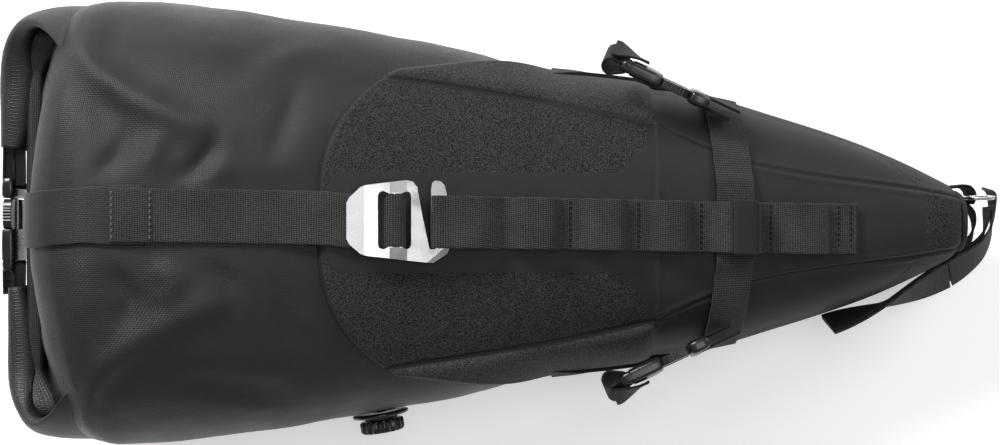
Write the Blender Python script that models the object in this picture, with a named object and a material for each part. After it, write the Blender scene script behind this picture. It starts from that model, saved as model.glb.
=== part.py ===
"""Roll-top saddle bag for a bicycle: dry bag, moulded harness, straps, buckles, hook and valve.

Millimetres inside, metres in the scene. +X runs to the seatpost, +Z away from the face the
bag lies on, so +Y is its left side. The bag's own skin carries every layer laid on it.
"""
import math

import bmesh
import bpy
from mathutils import Matrix, Vector

MM = 0.001
GAP = 0.3
SQUARE = 2.6  # exponent of the bag's rounded section

# Dry bag: x, half width, top, underside
STATIONS = (
    (-219, 90, 122, 24), (-213, 99, 136, 10), (-203, 105.5, 145, 2), (-185, 108.3, 149, -3),
    (-140, 105, 146, -4), (-80, 97, 135, -4), (-30, 88.5, 122, -4), (0, 81, 116, -4),
    (25, 70.5, 111, -4), (60, 65, 105, -3), (100, 60.5, 98, -3), (140, 49.5, 92, -2),
    (180, 36.5, 85.5, -1), (205, 26, 80, 0), (220, 18.5, 75, 4), (227, 15, 70, 9),
)
NOSE_X = 227.0
TAIL_X = -219.0

# Harness: layers as heights over the skin, and its outline
STIFFENER = (0.8, 1.6)
SHELL = (2.1, 3.3)
GRAIN = (4.2, 5.2)
SMOOTH = (4.2, 5.5)
RIDGE = (4.2, 6.6)
HARNESS_START = -84.0
HARNESS_WRAP = ((-90, 40), (-50, 45), (0, 60), (28, 76), (60, 88), (100, 100), (160, 112), (227, 120))
SPINE_HALF = 22.8
SPINE_EDGE = ((-80, 22.8), (55, 22.8), (74, 44), (101, 33.7), (122, 26.3), (154, 20.6), (206, 14))
GROOVE = ((-55, 66), (-9, 59.6), (28, 53.4), (74, 44.6))
CREASE = ((75, 44.5), (101, 34.2), (122, 26.8), (154, 21.1), (200, 14.7), (227, 9.5))

# Straps
WEB_WIDE = 25.0
WEB_THICK = 1.4
CROSS_WIDE = 18.5
STRIP_END = -160.0
CROSS_X = 111.4
LADDER_BASE = (6.0, 6.7)
VALLEY = 7.7
CREST = 13.4
LADDER_LOOPS = ((3, 27), (36, 59), (69, 90), (98.5, 124.5), (132, 157))
LADDER_END = 170.7

# Hook, in its own plane
HOOK_AT = (-50.0, 0.7)
HOOK_THICK = 3.2
HOOK_LIFT = 10.8
HOOK_OUTLINE = (
    (-23.8, -8.2), (-23.8, 8.2), (-16.5, 16), (3.7, 18.7), (6.8, 18), (8.7, 15.5), (14.5, -13),
    (17.2, -13), (17.2, 14.6), (17.9, 18.3), (20.4, 18.3), (22.6, 14.2),
    (23.8, -13.2), (22.9, -15.1), (16.5, -19.2), (-17.4, -15.1),
)
HOOK_SLOT = (-9.6, 5.9, -12.9, 13.7)
HOOK_BAR = (-3.0, 1.0, -0.6, 1.5)

# Side-release buckles for 20 mm strap: u along, w across, n through
BUCKLE_LONG = 45.7
BUCKLE_HALF = 12.8
BUCKLE_THICK = 7.2
FEMALE_START = 25.0
BUCKLE_BAR = (0.4, 2.6, 1.2)
BUCKLE_SLOT = 5.4
BUCKLE_STRAP = 20.0

# Roll closure
ROLL_X = (-230.3, -219.4)
ROLL_Z = 76.0
ROLL_HALF_HEIGHT = 17.0
ROLL_HALF_LENGTH = 96.0
WING_THICK = 10.0
CLOSURE_X = -239.2
CLOSURE_TOP = 21.8

# Seatpost strap
POST_Z = 48.0
POST_HALF = 12.5
POST_PATH = (
    (247.5, 16.8), (249.8, 14.6), (250.2, 8), (249.4, -3.8), (244.5, -14), (236, -21.2), (228.6, -26),
)
TAIL_PATH = ((227.6, -26.7), (213, -34.5), (192.7, -43.8), (167, -53.2))
INNER_PATH = ((235.6, 9.6), (239.4, 5.6), (240.8, -1), (239.2, -8), (235.6, -12.2))
RING_X = (234.5, 248.5)
RING_Y = 12.4

# Air valve on the right flank
VALVE_X = -60.0
VALVE_FLANGE = 14.0
VALVE_STEM = 6.0
VALVE_CAP = 11.0


# The bag's middle, between the roll's ends and the seatpost strap
MIDDLE_X = 3.29


def clear_scene():
    for thing in list(bpy.data.objects):
        bpy.data.objects.remove(thing, do_unlink=True)


def material(name, colour, rough, metal=0.0):
    made = bpy.data.materials.new(name)
    made.use_nodes = True
    shader = made.node_tree.nodes["Principled BSDF"]
    shader.inputs["Base Color"].default_value = (*colour, 1)
    shader.inputs["Roughness"].default_value = rough
    shader.inputs["Metallic"].default_value = metal
    made.diffuse_color = (*colour, 1)
    return made


def blend(table, x, column=1):
    """Smooth monotone value of a table at x."""
    xs = [row[0] for row in table]
    ys = [row[column] for row in table]
    if x <= xs[0]:
        return ys[0]
    if x >= xs[-1]:
        return ys[-1]
    slopes = [(ys[i + 1] - ys[i]) / (xs[i + 1] - xs[i]) for i in range(len(xs) - 1)]
    tangents = [slopes[0]]
    for a, b in zip(slopes, slopes[1:]):
        tangents.append(0.0 if a * b <= 0 else 2 * a * b / (a + b))
    tangents.append(slopes[-1])
    i = max(k for k in range(len(xs) - 1) if xs[k] <= x)
    step = xs[i + 1] - xs[i]
    t = (x - xs[i]) / step
    return (
        (2 * t**3 - 3 * t**2 + 1) * ys[i]
        + (t**3 - 2 * t**2 + t) * step * tangents[i]
        + (3 * t**2 - 2 * t**3) * ys[i + 1]
        + (t**3 - t**2) * step * tangents[i + 1]
    )


def on_skin(x, turn):
    wide, top, low = (blend(STATIONS, x, column) for column in (1, 2, 3))
    s, c = math.sin(turn), math.cos(turn)
    k = (abs(s) ** SQUARE + abs(c) ** SQUARE) ** (-1 / SQUARE)
    half = (top - low) / 2
    return Vector((x, wide * s * k, (top + low) / 2 + half * c * k))


def skin_normal(x, turn):
    near = max(TAIL_X + 0.6, min(NOSE_X - 0.6, x))
    along = on_skin(near + 0.5, turn) - on_skin(near - 0.5, turn)
    around = on_skin(near, turn + 0.01) - on_skin(near, turn - 0.01)
    return along.cross(around).normalized()


def skin(x, turn, lift):
    return on_skin(x, turn) + lift * skin_normal(x, turn)


def turn_at(x, y):
    """The section angle whose skin point stands at this y."""
    q = min(0.995, abs(y) / blend(STATIONS, x, 1))
    return math.copysign(math.atan2(q, (1 - q**SQUARE) ** (1 / SQUARE)), y)


def top(x, y, lift):
    return skin(x, turn_at(x, y), lift)


def finish(name, mesh, mat, origin=None, smooth=True):
    """Turns a millimetre bmesh into an object whose origin is the given point."""
    bmesh.ops.recalc_face_normals(mesh, faces=mesh.faces)
    base = Vector(origin) if origin is not None else Vector((0, 0, 0))
    for vert in mesh.verts:
        vert.co = (vert.co - base) * MM
    data = bpy.data.meshes.new(name)
    mesh.to_mesh(data)
    mesh.free()
    data.materials.append(mat)
    data.polygons.foreach_set("use_smooth", [smooth] * len(data.polygons))
    made = bpy.data.objects.new(name, data)
    made.location = base * MM
    bpy.context.scene.collection.objects.link(made)
    return made


def closed_grid(name, mat, rings, smooth=True, origin=None, loop=False):
    """Skin over a row of equal rings, with the ends capped or joined into a loop."""
    mesh = bmesh.new()
    rows = [[mesh.verts.new(point) for point in ring] for ring in rings]
    count = len(rows[0])
    pairs = list(zip(rows, rows[1:]))
    if loop:
        pairs.append((rows[-1], rows[0]))
    for a, b in pairs:
        for i in range(count):
            j = (i + 1) % count
            mesh.faces.new((a[i], a[j], b[j], b[i]))
    if not loop:
        mesh.faces.new(rows[0])
        mesh.faces.new(rows[-1])
    return finish(name, mesh, mat, origin, smooth)


def slab(name, mat, across, along, place, low, high):
    """Closed sheet between two heights over the skin; place(u, v, lift) gives a point."""
    rings = []
    for i in range(along + 1):
        u = i / along
        upper = [place(u, j / across, high) for j in range(across + 1)]
        under = [place(u, 1 - j / across, low) for j in range(across + 1)]
        rings.append(upper + under)
    mesh = bmesh.new()
    rows = [[mesh.verts.new(point) for point in ring] for ring in rings]
    count = len(rows[0])
    for a, b in zip(rows, rows[1:]):
        for i in range(count):
            j = (i + 1) % count
            mesh.faces.new((a[i], a[j], b[j], b[i]))
    for row in (rows[0], rows[-1]):
        for j in range(across):
            k = count - 1 - j
            mesh.faces.new((row[j], row[j + 1], row[k - 1], row[k]))
    return finish(name, mesh, mat)


def ribbon(name, mat, stations, thick, origin=None, loop=False):
    """Strap through (point, width direction, normal, half width) stations."""
    rings = []
    for point, wide, normal, half in stations:
        p, w, n = Vector(point), Vector(wide).normalized(), Vector(normal).normalized()
        t = thick / 2
        rings.append([p + w * half + n * t, p - w * half + n * t, p - w * half - n * t, p + w * half - n * t])
    return closed_grid(name, mat, rings, smooth=False, origin=origin, loop=loop)


def round_edges(thing, width, parts=2, angle=40):
    edge = thing.modifiers.new("edge", "BEVEL")
    edge.width = width * MM
    edge.segments = parts
    edge.limit_method = "ANGLE"
    edge.angle_limit = math.radians(angle)


def smooth_path(points, steps):
    """Catmull-Rom points through a plan path, with their unit directions."""
    knots = [Vector((*p, 0)) if len(p) == 2 else Vector(p) for p in points]
    padded = [2 * knots[0] - knots[1]] + knots + [2 * knots[-1] - knots[-2]]
    found = []
    for i in range(1, len(padded) - 2):
        a, b, c, d = padded[i - 1 : i + 3]
        for k in range(steps):
            t = k / steps
            found.append(
                0.5 * (2 * b + (c - a) * t + (2 * a - 5 * b + 4 * c - d) * t**2 + (3 * b - a - 3 * c + d) * t**3)
            )
    found.append(knots[-1])
    ways = []
    for i, point in enumerate(found):
        before, after = found[max(0, i - 1)], found[min(len(found) - 1, i + 1)]
        ways.append((after - before).normalized())
    return found, ways


def box_mesh(x, y, z):
    mesh = bmesh.new()
    bmesh.ops.create_cube(mesh, size=1)
    for vert in mesh.verts:
        vert.co = Vector(
            ((x[0] + x[1]) / 2 + vert.co.x * (x[1] - x[0]), (y[0] + y[1]) / 2 + vert.co.y * (y[1] - y[0]),
             (z[0] + z[1]) / 2 + vert.co.z * (z[1] - z[0]))
        )
    return mesh


def combine(thing, other, how):
    other.hide_render = True
    other.display_type = "WIRE"
    cut = thing.modifiers.new(how.lower(), "BOOLEAN")
    cut.operation = how
    cut.solver = "EXACT"
    cut.object = other


def box_cut(thing, x, y, z, how="DIFFERENCE", frame=None):
    """Cuts a box from an object, or joins one on, in the frame that the object stands in."""
    cutter = finish(thing.name + "_cut", box_mesh(x, y, z), thing.data.materials[0], smooth=False)
    if frame is not None:
        cutter.matrix_world = frame
    combine(thing, cutter, how)


def extrude(name, mat, outline, low, high, smooth=False):
    mesh = bmesh.new()
    face = mesh.faces.new([mesh.verts.new((x, y, low)) for x, y in outline])
    grown = bmesh.ops.extrude_face_region(mesh, geom=[face])
    for vert in grown["geom"]:
        if isinstance(vert, bmesh.types.BMVert):
            vert.co.z = high
    return finish(name, mesh, mat, smooth=smooth)


def standing(origin, along, through):
    """World frame at a millimetre point with local x along, local z through."""
    x = Vector(along).normalized()
    z = (Vector(through) - Vector(through).dot(x) * x).normalized()
    y = z.cross(x)
    frame = Matrix((x, y, z)).transposed().to_4x4()
    frame.translation = Vector(origin) * MM
    return frame


def lathe(name, mat, profile, frame, steps=40, ribs=0, depth=0.0, ribbed=()):
    """Turned piece: profile of (radius, height), some of its rows ribbed like a grip."""
    mesh = bmesh.new()
    rows = []
    for index, (radius, height) in enumerate(profile):
        ring = []
        for i in range(steps):
            a = 2 * math.pi * i / steps
            cut = depth * (0.5 - 0.5 * math.cos(ribs * a)) if index in ribbed else 0.0
            ring.append(mesh.verts.new(((radius - cut) * math.cos(a), (radius - cut) * math.sin(a), height)))
        rows.append(ring)
    rows.append(rows[0])
    for a, b in zip(rows, rows[1:]):
        for i in range(steps):
            j = (i + 1) % steps
            mesh.faces.new((a[i], a[j], b[j], b[i]))
    made = finish(name, mesh, mat)
    made.matrix_world = frame
    return made


def build_bag(cloth):
    sections, steps = 40, 36
    knots = [TAIL_X + (NOSE_X - TAIL_X) * (0.5 - 0.5 * math.cos(math.pi * i / sections)) for i in range(sections + 1)]
    rings = []
    for x in knots:
        ring = [on_skin(x, 2 * math.pi * j / steps) for j in range(steps)]
        rings.append([Vector((p.x, p.y, max(0.0, p.z))) for p in ring])
    closed_grid("bag_body", cloth, rings)


def harness_start(side):
    """Where the harness begins, from its middle (0) to its edge (1)."""
    return HARNESS_START + 34 * abs(side) ** 3.2


def build_harness(mats):
    def wrap(u, v, lift):
        side = 2 * v - 1
        start = harness_start(side)
        x = start + (NOSE_X - 0.5 - start) * u
        return skin(x, side * math.radians(blend(HARNESS_WRAP, x)), lift)

    slab("harness_shell", mats["mould"], 22, 24, wrap, *SHELL)

    def plate(u, v, lift):
        x = -60 + 240 * u
        return top(x, (2 * v - 1) * min(20, 0.55 * blend(STATIONS, x, 1)), lift)

    slab("harness_stiffener", mats["board"], 4, 12, plate, *STIFFENER)

    def spine(u, v, lift):
        side = 2 * v - 1
        x = -80 + 6 * abs(side) ** 3 + (286 - 6 * abs(side) ** 3) * u
        return top(x, side * (blend(SPINE_EDGE, x) - GAP), lift)

    slab("spine_panel", mats["mould"], 8, 30, spine, *SMOOTH)

    for side, label in ((1, "left"), (-1, "right")):
        def grain(u, v, lift):
            inner = SPINE_HALF + GAP
            outer_start = harness_start(0.35 + 0.6 * v) + 3.5
            end = 55.5 + 17.5 * v
            x = outer_start + (end - outer_start) * u
            return top(x, side * (inner + (blend(GROOVE, x) - 0.6 - inner) * v), lift)

        slab("grain_panel_" + label, mats["grain"], 6, 14, grain, *GRAIN)

        def ridge(u, v, lift):
            x = -50 + 124 * u
            inner = turn_at(x, blend(GROOVE, x))
            outer = math.radians(blend(HARNESS_WRAP, x))
            drop = 2.0 * (2 * v - 1) ** 2 if lift == RIDGE[1] else 0.0
            return skin(x, side * (inner + (outer - inner) * v), lift - drop)

        slab("edge_ridge_" + label, mats["mould"], 6, 16, ridge, *RIDGE)

        def flank(u, v, lift):
            x = 75 + 151 * u
            inner = turn_at(x, blend(CREASE, x) + 3 * GAP)
            outer = math.radians(blend(HARNESS_WRAP, x))
            return skin(x, side * (inner + (outer - inner) * v), lift)

        slab("flank_panel_" + label, mats["grain"], 6, 16, flank, *SMOOTH)

    def patch(u, v, lift):
        x = 206.8 + 19.2 * u
        return top(x, (2 * v - 1) * (blend(CREASE, x) - 2 * GAP), lift)

    slab("nose_patch", mats["grain"], 4, 4, patch, *GRAIN)

    ring = [on_skin(NOSE_X, 2 * math.pi * j / 32) for j in range(32)]
    middle = sum(ring, Vector()) / 32
    rings = []
    for x, scale in ((NOSE_X + 0.4, 1.0), (NOSE_X + 3.4, 1.06), (NOSE_X + 5.5, 0.98)):
        rings.append([Vector((x, *(middle + (p - middle) * scale)[1:])) for p in ring])
    closed_grid("nose_pad", mats["foam"], rings)


def webbing_y(x):
    return blend(((-216, 0.9), (-183, 3.4), (-100, 2.4), (-48, 0.7)), x)


def along_top(name, mat, path, half, thick, middle, across=(0, 1, 0)):
    """Ribbon over the top of the bag through (x, height of its centre) points."""
    stations = []
    spots = [top(x, middle(x), lift) for x, lift in path]
    for i, spot in enumerate(spots):
        way = (spots[min(i + 1, len(spots) - 1)] - spots[max(i - 1, 0)]).normalized()
        wide = Vector(across)
        stations.append((spot, wide, way.cross(wide), half))
    return ribbon(name, mat, stations, thick)


def build_top_straps(mats):
    # flat fabric strip: over the rear edge and down the rear wall
    stations = [(Vector((TAIL_X - 1.2, 0.9, z)), (0, 1, 0), (-1, 0, 0), 12.8) for z in (104, 117)]
    for x in (-218.4, -216, -213, -208, -203, -196, -188, -178, -168, STRIP_END):
        turn = turn_at(x, webbing_y(x))
        stations.append((skin(x, turn, 0.9 if x > -210 else 1.6), (0, 1, 0), skin_normal(x, turn), 12.8 if x < -180 else 13.6))
    ribbon("compression_strip", mats["cloth"], stations, 1.0)

    # webbing from the strip to the hook, round its bar and back under itself
    frame = hook_frame()
    path = [(-175.5, 2.4), (-168, 2.4), (-160, 2.4), (-154, 1.6), (-140, 1.2), (-120, 1.2), (-102, 1.4),
            (-94, 3.4), (-88, 5.6), (-80, 7.2)]
    stations = []
    for x, lift in path:
        turn = turn_at(x, webbing_y(x))
        stations.append((skin(x, turn, lift), (0, 1, 0), skin_normal(x, turn), WEB_WIDE / 2 - 0.2))
    bar = (HOOK_BAR[0] + HOOK_BAR[1]) / 2
    inside = [(-23, -1.6), (-16, -1.25), (-11, -1.2), (-7.6, -0.7), (-5.6, 0.6), (-4.2, 2.1), (-2.8, 2.65), (bar, 2.8),
              (0.8, 2.65), (2.2, 2.0), (3.1, 0.6), (3.3, -0.8), (2.6, -2.4), (0.6, -3.3), (-4, -3.4), (-12, -3.4), (-20, -3.6)]
    for i, (x, z) in enumerate(inside):
        a, b = inside[max(0, i - 1)], inside[min(len(inside) - 1, i + 1)]
        way = Vector((b[0] - a[0], 0, b[1] - a[1])).normalized()
        spot = frame @ Vector((x * MM, 0.1 * MM, z * MM)) / MM
        turned = frame.to_3x3()
        stations.append((spot, turned @ Vector((0, 1, 0)), turned @ Vector((-way.z, 0, way.x)), WEB_WIDE / 2 - 0.2))
    ribbon("compression_webbing", mats["webbing"], stations, WEB_THICK)

    middle = lambda x: blend(((-31, 0.3), (28, -0.6), (144, -2.7), (170, -2.9)), x)
    path = [(-2 + 4.3 * i, sum(LADDER_BASE) / 2) for i in range(41)]
    along_top("ladder_base", mats["webbing"], path, WEB_WIDE / 2 - 0.4, LADDER_BASE[1] - LADDER_BASE[0], middle)

    path = [(-5, 8.2), (-16, 8.4), (-27, 8.6), (-31.5, 8.9), (-33.4, 9.8), (-34.0, 12), (-33.6, 14.4), (-31.9, 15.4),
            (-28.9, 15.6), (-21, 15.4), (-12, 14), (-6, 11)]
    path += [(-1.6, VALLEY + 2.4)]
    for start, end in LADDER_LOOPS:
        path += [(start - 2.6, VALLEY), (start + 0.8, VALLEY + 2), (start + 2.6, CREST - 0.9), (start + 5, CREST)]
        path += [((start + end) / 2, CREST + 0.2), (end - 5, CREST), (end - 2.6, CREST - 0.9), (end - 0.8, VALLEY + 2)]
        path += [(end + 2.6, VALLEY)]
    path += [(164, VALLEY), (LADDER_END, VALLEY)]
    along_top("ladder_loops", mats["webbing"], path, WEB_WIDE / 2 - 0.4, WEB_THICK, middle)
    path = [(108, CREST + 1.6), (110.5, CREST + 1.7), (113, CREST + 1.7), (116, CREST + 1.6), (119.5, CREST + 1.5)]
    along_top("keeper", mats["smooth"], path, WEB_WIDE / 2 + 0.4, 1.0, middle)

    stations = []
    for i in range(29):
        s = 2 * i / 28 - 1
        y = 55.0 * s
        x = CROSS_X - 5.6 * abs(s) ** 2.2
        lift = 8.3 if abs(y) < 19 else 6.7
        turn = turn_at(x, y)
        out = skin_normal(x, turn)
        stations.append((skin(x, turn, lift), Vector((1, 0, 0)) - out.x * out, out, CROSS_WIDE / 2))
    ribbon("cross_strap", mats["webbing"], stations, 1.3)


def hook_frame():
    x, y = HOOK_AT
    turn = turn_at(x, y)
    ahead = on_skin(x + 12, 0) - on_skin(x - 12, 0)
    spot = skin(x, turn, HOOK_LIFT)
    return standing(spot, ahead, skin_normal(x, 0))


def build_hook(alloy):
    hook = extrude("hook", alloy, HOOK_OUTLINE, 0, HOOK_THICK)
    round_edges(hook, 0.45, 1)
    x0, x1, y0, y1 = HOOK_SLOT
    frame = hook_frame()
    box_cut(hook, (x0, x1), (y0, y1), (-1, 5), frame=frame)
    box_cut(hook, HOOK_BAR[:2], (y0 - 1, y1 + 1), HOOK_BAR[2:], "UNION", frame)
    hook.matrix_world = frame


def build_buckle(prefix, plastic, origin, along, through):
    """Male, female and two release arms; returns the frame they stand in."""
    frame = standing(origin, along, through)
    half, deep = BUCKLE_HALF, BUCKLE_THICK / 2
    bar0, bar1, bar_half = BUCKLE_BAR
    opening = BUCKLE_STRAP / 2 + 0.4

    male = extrude(prefix + "_male", plastic, (
        (0, -half + 1.5), (0.8, -half), (8.6, -half), (10, -half + 1.4), (10, -3), (35.2, -2.6), (36, -1.6),
        (36, 1.6), (35.2, 2.6), (10, 3), (10, half - 1.4), (8.6, half), (0.8, half), (0, half - 1.5),
    ), -deep, deep)
    box_cut(male, (bar1, BUCKLE_SLOT), (-opening, opening), (-9, 9), frame=frame)
    for z in ((bar_half, 9), (-9, -bar_half)):
        box_cut(male, (-1, BUCKLE_SLOT), (-opening, opening), z, frame=frame)
    for z in ((1.6, 9), (-9, -1.6)):
        box_cut(male, (10, 40), (-9, 9), z, frame=frame)
    male.matrix_world = frame

    female = extrude(prefix + "_female", plastic, (
        (FEMALE_START, -half), (BUCKLE_LONG - 1.2, -half), (BUCKLE_LONG, -half + 1.6), (BUCKLE_LONG, half - 1.6),
        (BUCKLE_LONG - 1.2, half), (FEMALE_START, half),
    ), -deep, deep)
    box_cut(female, (FEMALE_START - 1, 37.5), (-11, 11), (-2.3, 2.3), frame=frame)
    low = BUCKLE_LONG - BUCKLE_SLOT
    box_cut(female, (low, BUCKLE_LONG - bar1), (-opening, opening), (-9, 9), frame=frame)
    for z in ((bar_half, 9), (-9, -bar_half)):
        box_cut(female, (low, BUCKLE_LONG + 1), (-opening, opening), z, frame=frame)
    female.matrix_world = frame

    for side, label in ((1, "a"), (-1, "b")):
        outline = [
            (10.4, 6.2), (10.4, 11.4), (12.2, 12.8), (15, 13.7), (19, 14.0), (22.4, 13.6), (24.4, 12.4), (24.9, 10.2),
            (32.4, 10.2), (34.6, 8.8), (34.6, 7.6), (23, 7.4), (14, 7.2), (12.6, 6.2),
        ]
        arm = extrude(prefix + "_arm_" + label, plastic, [(x - 11, side * y - side * 8.5) for x, y in outline], -2.0, 2.0)
        arm.matrix_world = frame @ Matrix.Translation(Vector((11, side * 8.5, 0)) * MM)
    return frame


def loop_points(frame, points, half):
    """Ribbon stations from (u, n) points of a buckle's own plane, closed or open."""
    turned = frame.to_3x3()
    stations = []
    for i, (u, n) in enumerate(points):
        a, b = points[max(0, i - 1)], points[min(len(points) - 1, i + 1)]
        way = Vector((b[0] - a[0], 0, b[1] - a[1])).normalized()
        spot = frame @ Vector((u * MM, 0, n * MM)) / MM
        stations.append((spot, turned @ Vector((0, 1, 0)), turned @ Vector((-way.z, 0, way.x)), half))
    return stations


def round_bar(centre, radius, start, end, steps=8):
    angles = [start + (end - start) * i / steps for i in range(steps + 1)]
    return [(centre + radius * math.cos(math.radians(a)), radius * math.sin(math.radians(a))) for a in angles]


def build_closure(mats):
    def roll(scale):
        x0, x1 = ROLL_X
        mid, deep = (x0 + x1) / 2, (x1 - x0) / 2
        ring = []
        for j in range(24):
            a = 2 * math.pi * j / 24
            c, s = math.cos(a), math.sin(a)
            k = (abs(c) ** 4 + abs(s) ** 4) ** -0.25
            ring.append((mid + scale * deep * c * k, ROLL_Z + ROLL_HALF_HEIGHT * s * k * (0.6 + 0.4 * scale)))
        return ring

    rings = []
    for i in range(13):
        y = ROLL_HALF_LENGTH * (2 * i / 12 - 1)
        rings.append([Vector((x, y, z)) for x, z in roll(0.93 + 0.07 * math.cos(6 * math.pi * i / 12))])
    bar = closed_grid("roll_bar", mats["cloth"], rings)
    middle = sum(ROLL_X) / 2
    box_cut(bar, (middle - 1.2, middle + 1.2), (-120, 120), (ROLL_Z - 12.5, ROLL_Z + 12.5))
    batten = finish(
        "roll_batten", box_mesh((middle - 0.8, middle + 0.8), (-93, 93), (ROLL_Z - 12, ROLL_Z + 12)), mats["board"],
        smooth=False,
    )
    round_edges(batten, 0.3, 1)

    for side, label, end in ((1, "left", 35.7), (-1, "right", 31.0)):
        plan = [(-224.8, 97.4), (-226.0, 101.0), (-231.2, 103.4), (-237.0, 99.5), (CLOSURE_X, 88.0), (CLOSURE_X, 70.0)]
        points, ways = smooth_path(plan, 4)
        points.append(Vector((CLOSURE_X, end, 0)))
        ways[-1] = Vector((0, -1, 0))
        ways.append(Vector((0, -1, 0)))
        rings = []
        for i, (p, way) in enumerate(zip(points, ways)):
            out = Vector((way.y, -way.x, 0))
            ring = []
            for j in range(14):
                a = 2 * math.pi * j / 14
                c, s = math.cos(a), math.sin(a)
                k = (abs(c) ** 4 + abs(s) ** 4) ** -0.25
                spot = p + out * (WING_THICK / 2 * c * k)
                ring.append(Vector((spot.x, side * spot.y, ROLL_Z + ROLL_HALF_HEIGHT * s * k)))
            rings.append(ring)
        wing = closed_grid("roll_end_" + label, mats["cloth"], rings)
        inner = end + 24
        box_cut(
            wing, (CLOSURE_X - 3.7, CLOSURE_X + 3.7), tuple(sorted((side * (end - 1), side * inner))),
            (ROLL_Z - 10.6, ROLL_Z + 10.6),
        )

    frame = build_buckle("closure", mats["plastic"], (CLOSURE_X, CLOSURE_TOP, ROLL_Z), (0, -1, 0), (-1, 0, 0))
    reach = CLOSURE_TOP - 35.7 - 4
    points = [(reach, -2.55), *round_bar(1.5, 2.55, -90, 90), (reach, 2.55)]
    ribbon("closure_strap_left", mats["webbing"], loop_points(frame, points, BUCKLE_STRAP / 2), WEB_THICK)
    far = CLOSURE_TOP + 31 + 4
    points = [(far, 2.55), *round_bar(BUCKLE_LONG - 1.5, 2.55, 90, 270), (far, -2.55)]
    ribbon("closure_strap_right", mats["webbing"], loop_points(frame, points, BUCKLE_STRAP / 2), WEB_THICK)


def build_rail_buckles(mats):
    for side, label in ((1, "left"), (-1, "right")):
        origin = (99.5, side * 57.2, 100.5)
        along = (-0.906, side * 0.42, 0)
        out = Vector((0.414, side * 0.892, 0.14))
        frame = build_buckle("rail_" + label, mats["plastic"], origin, along, out)
        bar = BUCKLE_LONG - 1.5
        points = round_bar(bar, 2.55, 100, 260)
        end = [(bar + 14 + 6.6 * math.cos(math.radians(a)), 6.6 * math.sin(math.radians(a))) for a in range(-90, 91, 18)]
        ring = points + [(bar + 5, -4.6)] + end + [(bar + 5, 4.6)]
        stations = []
        turned = frame.to_3x3()
        for i, (u, n) in enumerate(ring):
            a, b = ring[i - 1], ring[(i + 1) % len(ring)]
            way = Vector((b[0] - a[0], 0, b[1] - a[1])).normalized()
            spot = frame @ Vector((u * MM, 0, n * MM)) / MM
            stations.append((spot, turned @ Vector((0, 1, 0)), turned @ Vector((-way.z, 0, way.x)), BUCKLE_STRAP / 2))
        ribbon("rail_loop_" + label, mats["webbing"], stations, WEB_THICK, loop=True)
        points = [(bar + 17.5, 8.4), (bar + 12, 8.9), (bar + 4, 8.2), (bar - 4, 6.4), (bar - 9, 5.6)]
        ribbon("rail_tail_" + label, mats["webbing"], loop_points(frame, points, BUCKLE_STRAP / 2 - 0.5), 1.2)
        points = [(-12, -2.55), *round_bar(1.5, 2.55, -90, 90), (-15, 2.55)]
        ribbon("rail_web_" + label, mats["webbing"], loop_points(frame, points, BUCKLE_STRAP / 2), WEB_THICK)

        stations = []
        for i in range(9):
            x = 24 + 62 * i / 8
            turn = side * math.radians(blend(((24, 66), (60, 80), (90, 92)), x))
            around = (on_skin(x, turn + 0.01) - on_skin(x, turn - 0.01)).normalized()
            stations.append((skin(x, turn, 7.6), around, skin_normal(x, turn), 9.0))
        ribbon("anchor_strap_" + label, mats["webbing"], stations, 1.4)


def standing_ribbon(name, mat, plan, half, thick, z, shift=0.0, steps=4, origin=None):
    """Strap on edge: follows a plan path with its width upright."""
    points, ways = smooth_path(plan, steps)
    stations = []
    for p, way in zip(points, ways):
        out = Vector((way.y, -way.x, 0))
        stations.append((Vector((p.x, p.y, z)) + out * shift, (0, 0, 1), out, half))
    return ribbon(name, mat, stations, thick, origin)


def build_post_strap(mats):
    standing_ribbon("post_strap", mats["webbing"], POST_PATH, POST_HALF, 1.4, POST_Z)
    lining = [(246.6, 7.0), (245.9, -3.0), (241.6, -11.6), (234.0, -18.2), (227.2, -22.6)]
    standing_ribbon("post_lining", mats["loop"], lining, POST_HALF - 1, 1.4, POST_Z)
    standing_ribbon("post_tail", mats["webbing"], TAIL_PATH, POST_HALF, 1.5, POST_Z, origin=(*TAIL_PATH[0], POST_Z))
    standing_ribbon("post_inner", mats["loop"], INNER_PATH, POST_HALF - 1, 1.2, POST_Z)
    # fixed loop from the nose to the ring: out, round the ring's near bar and back
    plan = [(229.4, 17.8), (232, 18.6), (236.4, 18), (238.7, 15.2), (238.9, RING_Y), (237.8, 9.4)]
    standing_ribbon("ring_anchor", mats["webbing"], plan, POST_HALF - 1.5, 1.3, POST_Z)
    x0, x1 = RING_X
    ring = finish("post_ring", box_mesh((x0, x1), (RING_Y - 1.3, RING_Y + 1.3), (POST_Z - 15.6, POST_Z + 15.6)),
                  mats["steel"], (x0 + 1.3, RING_Y, POST_Z), smooth=False)
    box_cut(ring, (x0 + 2.6, x1 - 2.6), (-20, 40), (POST_Z - 13, POST_Z + 13))
    round_edges(ring, 0.5)


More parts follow.
